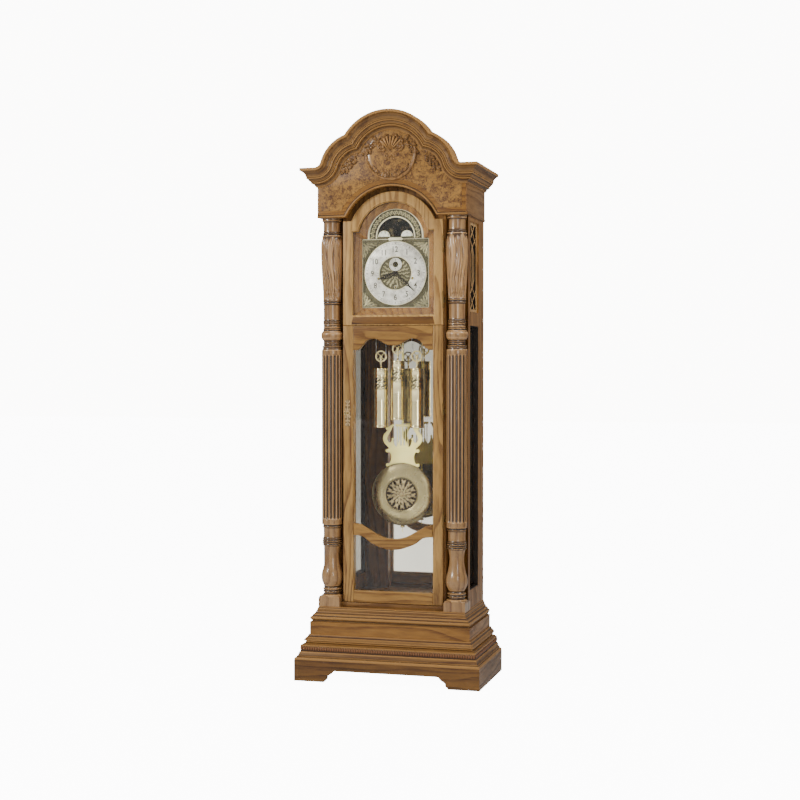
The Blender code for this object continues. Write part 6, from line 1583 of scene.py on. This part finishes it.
def weight_shell(x, foot):
    """The weight's tube with capped ends and an embossed band of running scrolls near its top."""
    top = foot + weight_height
    line = run(
        [(0.0, foot), (0.75, foot)], [(0.96, foot + 0.0010), (1, foot + 0.0040)],
        [(1, foot + 0.0042), (1, foot + 0.0095)], [(0.955, foot + 0.0110), (0.955, foot + 0.0125)],
        [(0.955, foot + 0.0130), (0.955, top - 0.0920)],
        bulge((0.96, top - 0.0915), (0.96, top - 0.0885), -0.0012 / weight_radius),
        [(0.962, top - 0.0875), (0.962, top - 0.0380)],
        bulge((0.96, top - 0.0370), (0.96, top - 0.0340), -0.0012 / weight_radius),
        [(0.955, top - 0.0330), (0.955, top - 0.0120)],
        bulge((0.965, top - 0.0115), (0.965, top - 0.0060), -0.0011 / weight_radius),
        [(0.95, top - 0.0050), (0.94, top)], [(0.94, top), (0.0, top)],
    ) * (weight_radius, 1)
    low, high = top - 0.0875, top - 0.0380
    middle = (line[:-1, 1] + line[1:, 1]) / 2
    rows = divided(line, np.where((low <= middle) & (middle <= high), 0.0011, 0.05))

    def emboss(angle, height):
        """Scrolls where two sines cross, between two plain lines."""
        inside = (height > low + 0.001) & (height < high - 0.001)
        t = np.clip((height - low) / (high - low), 0, 1)
        wave = np.sin(5 * angle + 2.2 * np.sin(full_turn * t * 2))
        wave = wave * np.cos(full_turn * (1.5 * t) + np.sin(5 * angle))
        fine = np.sin(15 * angle + 7 * t) * np.sin(28 * t)
        rise = np.clip(0.34 + 0.50 * wave + 0.34 * fine, 0, 1)
        return np.where(inside, 0.0009 * rise, 0), np.where(inside, 0.05 + 0.9 * rise, 0.8)

    return turned(rows, (x, weight_y, 0), "Z", 120, emboss)


def hanger(x, top):
    """Collar, hook with its ball, and the stirrup whose pin carries the pulley."""
    axle = top + pulley_rise
    shank = [(0, top - 0.001), (0.0060, top - 0.001), (0.0060, top + 0.0015), (0.0034, top + 0.0030),
             (0.0020, top + 0.0045)]
    shank += [
        (0.0020 + 0.0024 * np.sin(a), top + 0.0090 - 0.0042 * np.cos(a)) for a in np.linspace(0.1, 3.04, 10)]
    shank += [(0.0020, top + 0.0140), (0.0020, top + 0.0185), (0, top + 0.0185)]
    forms = [turned(shank, (x, weight_y, 0), "Z", 24)]
    foot, high = top + 0.018, axle + 0.006
    stirrup = np.array([(-0.0062, high), (-0.0062, foot), (0.0062, foot), (0.0062, high), (0.005, high),
                        (0.005, foot + 0.0012), (-0.005, foot + 0.0012), (-0.005, high)]) + (weight_y, 0)
    forms.append(board([stirrup], x + 0.003, x - 0.003, 0.0003, "X"))
    pin = [(0, -0.0074), (0.0022, -0.0070), (0.0030, -0.0062), (0.0020, -0.0060), (0.0020, 0.0060),
           (0.0030, 0.0062), (0.0022, 0.0070), (0, 0.0074)]
    forms.append(turned(pin, (x, weight_y, axle), "Y", 20))
    return forms


def pulley(x, z):
    """Grooved rim, hub and four crossed spokes."""
    r, half = 0.0245, 0.004
    groove = [(r - 0.0004, 0.0028), (0.0212, 0.0012), (0.0206, 0.0), (0.0212, -0.0012), (r - 0.0004, -0.0028)]
    rim = run([(r, half), (r, 0.003)], groove, [(r, -0.003), (r, -half)],
              [(r - 0.0005, -half), (0.0192, -half)], [(0.0186, -half + 0.0006), (0.0186, half - 0.0006)],
              [(0.0192, half), (r, half)])
    hub = [(0.0023, -half), (0.0050, -half), (0.0056, -half + 0.0006), (0.0056, half - 0.0006),
           (0.0050, half), (0.0023, half), (0.0023, -half)]
    forms = [turned(rim, (x, weight_y, z), "Y", 64), turned(hub, (x, weight_y, z), "Y", 32)]
    widths = np.interp(np.linspace(0, 1, 12), [0, 0.5, 1], [0.0026, 0.0015, 0.0024])
    for k in range(4):
        turn = full_turn * (k + 0.5) / 4
        way = np.array([np.cos(turn), np.sin(turn)])
        line = spaced(np.array([way * 0.0050, way * 0.012, way * 0.0192]) + (x, z), 12)
        forms.append(strap(line, widths, weight_y - 0.0022, weight_y + 0.0022, 0.2))
    return forms


def cable(name, x, top, axle):
    """Laid wire from the drum under the pulley and up to its post: the radius follows the size of a cosine,
    whose crests are the strands, and they turn with the length."""
    wrap, r, strands, lay = 0.0217, 0.00085, 6, 0.011
    bend = arc((x, axle), wrap, 180, 360, 30)
    left = np.stack([np.full(60, x - wrap), np.linspace(top, axle, 60)], -1)
    right = left[::-1] + (2 * wrap, 0)
    line = np.concatenate([left[:-1], bend, right[1:]])
    length = np.concatenate([[0], np.cumsum(np.hypot(*np.diff(line, axis=0).T))])[:, None]
    line = placed(line, weight_y)
    deep = np.array([0.0, 1.0, 0.0])
    side = np.cross(unit(np.gradient(line, axis=0)), deep)
    angle = np.linspace(0, full_turn, 12, endpoint=False)
    radius = r * (0.90 + 0.10 * np.abs(np.cos(strands / 2 * (angle + full_turn * length / lay))))
    angle = angle[:, None]
    rings = line[:, None] + radius[..., None] * (side[:, None] * np.cos(angle) + deep * np.sin(angle))
    obj = piece(f"cable_wire_{name}", [pointed(rings)], "steel", stands_for=(f"cable_{name}",), sharp=80)
    obj.parent = None
    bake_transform(obj)


def weights_and_cables():
    """Each weight on its hook and pulley, with its cable."""
    for name, (x, foot, drum_z) in weights.items():
        top = foot + weight_height
        piece(f"weight_shell_{name}", [weight_shell(x, foot)], "embossed brass", f"weight_{name}",
              (f"weight_{name}",), sharp=45)
        piece(f"weight_hanger_{name}", hanger(x, top), "polished brass", f"weight_{name}")
        piece(f"spoked_pulley_{name}", pulley(x, top + pulley_rise), "polished brass", f"pulley_{name}",
              (f"pulley_{name}",))
        cable(name, x, drum_z, top + pulley_rise)


def fret_cloth():
    """Dark cloth stretched behind each fret."""
    across, up = np.meshgrid(np.linspace(-0.0385, 0.1205, 24), np.linspace(1.5490, 1.9258, 48))
    sheets = [np.stack([np.full_like(across, x), across, up], -1) for x in (0.3056, 0.3046)]
    rings = [np.concatenate([g[0], g[1:, -1], g[-1, -2::-1], g[-2:0:-1, 0]]) for g in sheets]
    form = joined([*(skin(sheet) for sheet in sheets), skin(np.array(rings), round_columns=True)])
    pair("fret_cloth", form, "dark cloth")


def glazing_beads():
    """A bead round each side window, from the glass to just inside the face of the case, near black as
    painted shade.
    """
    low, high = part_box("side_glass_right")
    outline = rectangle(low[1] + 0.0013, low[2] + 0.0102, high[1] - 0.0102, high[2] - 0.0102)
    form = board([outline, inset(outline, 0.0030)], case_half - 0.0010, high[0] + 0.0002, 0.0008, "X")
    pair("glazing_bead", form, "oak bead in painted shade")


# ---------------------------------------------------------------- assembly

base_moulding()
carved_band()
waist_moulding()
bonnet_moulding()
cornices()
pediment()
cartouche()
shell()
carvings()
columns()
hood_door()
waist_door()
lock_plate()
door_key()
dial_mask()
chapter_ring()
dial_centre()
spandrels()
moon_arch()
hands()
lyre()
bob()
rating_nut()
weights_and_cables()
fret_cloth()
glazing_beads()

keep("bracket_base", "oak plinth", 0.0015)
keep("base_box", "oak level", 0.0015)
keep("side_frame_left side_frame_right corner_post_left corner_post_right", "oak upright", 0.001)
# The frets' lighter oak is painted light.
keep("fret_grille_left fret_grille_right", "oak fret in painted light", 0.0006)
keep("back_panel roof_board seat_board", "oak inside", 0.001)
keep("movement_plates cable_drum_left cable_drum_centre cable_drum_right escape_wheel", "polished brass")
keep("hood_hinge_lower hood_hinge_upper waist_hinge_lower waist_hinge_upper", "aged brass", 0.0003)
keep("dial_plate", "dial ground")
keep("pallet_anchor chime_rods", "steel")
keep("moon_disc", "night sky")
keep("hood_door_glass waist_door_glass", "pane glass")
# The side panes' tints are painted shade.
keep("side_glass_left", "left pane in painted shade")
keep("side_glass_right", "right pane in painted shade")
keep("waist_mirror", "back mirror")


# ---------------------------------------------------------------- studio


def stage_floor():
    """A pale floor that glows white to the camera, and a little where it is seen through glass."""
    mesh = bpy.data.meshes.new("floor")
    mesh.from_pydata([(-30, -30, 0), (30, -30, 0), (30, 30, 0), (-30, 30, 0)], [], [(0, 1, 2, 3)])
    floor = bpy.data.objects.new("floor", mesh)
    bpy.context.scene.collection.objects.link(floor)
    paint = bpy.data.materials.new("pale floor")
    paint.use_nodes = True
    tree = paint.node_tree
    shader = tree.nodes["Principled BSDF"]
    shader.inputs["Base Color"].default_value = (0.84, 0.84, 0.84, 1)
    shader.inputs["Roughness"].default_value = 0.7
    shader.inputs["Emission Color"].default_value = (1.0, 1.0, 1.0, 1)
    ray = link(tree, "LightPath").outputs
    forward = link(tree, "SeparateXYZ", {0: link(tree, "TexCoord").outputs["Object"]}).outputs["Y"]
    before = maths(tree, "MULTIPLY", between(tree, forward, -0.8, -1.6), ray["Is Transmission Ray"])
    glow = maths(tree, "MULTIPLY_ADD", before, 1.3, maths(tree, "MULTIPLY", ray["Is Camera Ray"], 11.5))
    tree.links.new(glow, shader.inputs["Emission Strength"])
    mesh.materials.append(paint)


def surroundings():
    """White to the camera, dimmer through glass, and dimmer still for the light that they give."""
    world = bpy.data.worlds.new("studio")
    bpy.context.scene.world = world
    world.use_nodes = True
    tree = world.node_tree
    ray = link(tree, "LightPath").outputs
    ahead = link(tree, "SeparateXYZ", {0: link(tree, "TexCoord").outputs["Object"]}).outputs["Y"]
    through = between(tree, ahead, 0.1, -0.3, 0.20, 0.80)
    strength = maths(tree, "MULTIPLY_ADD", ray["Is Transmission Ray"], through, 0.22)
    strength = maths(tree, "MULTIPLY_ADD", ray["Is Camera Ray"], 12.0, strength)
    tree.nodes["Background"].inputs["Color"].default_value = (0.93, 0.92, 0.90, 1)
    tree.links.new(strength, tree.nodes["Background"].inputs["Strength"])


def aimed(name, data, place, way):
    """A light or a camera at a place, turned to look along a direction."""
    obj = bpy.data.objects.new(name, data)
    obj.location = place
    obj.rotation_euler = way.to_track_quat("-Z", "Y").to_euler()
    bpy.context.scene.collection.objects.link(obj)
    return obj


def lamp(name, place, aim, size, power, tint=(1.0, 1.0, 1.0)):
    """A soft light of a width and a height, turned to face a point."""
    light = bpy.data.lights.new(name, "AREA")
    light.shape, light.energy, light.color = "RECTANGLE", power, tint
    light.size, light.size_y = size
    aimed(name, light, place, Vector(aim) - Vector(place))


def camera():
    """The camera where the photograph was taken from."""
    lens = bpy.data.cameras.new("camera")
    lens.lens, lens.sensor_width = 67.04, 36.0
    way = Vector((-0.26852, 0.96303, -0.02170))
    bpy.context.scene.camera = aimed("camera", lens, (1.705, -6.110, 1.3146), way)


stage_floor()
surroundings()
lamp("key", (-4.2, -4.4, 3.4), (0, 0, 1.3), (1.0, 1.8), 250, (1.0, 0.99, 0.96))
lamp("front", (2.7, -5.4, 1.7), (0, 0, 1.2), (1.0, 2.0), 62)
lamp("side", (2.3, -0.7, 3.2), (0.3, 0, 1.8), (0.8, 1.2), 46, (1.0, 0.95, 0.88))
lamp("top", (0.3, -1.0, 4.6), (0, 0, 1.4), (2.0, 1.2), 34)
camera()
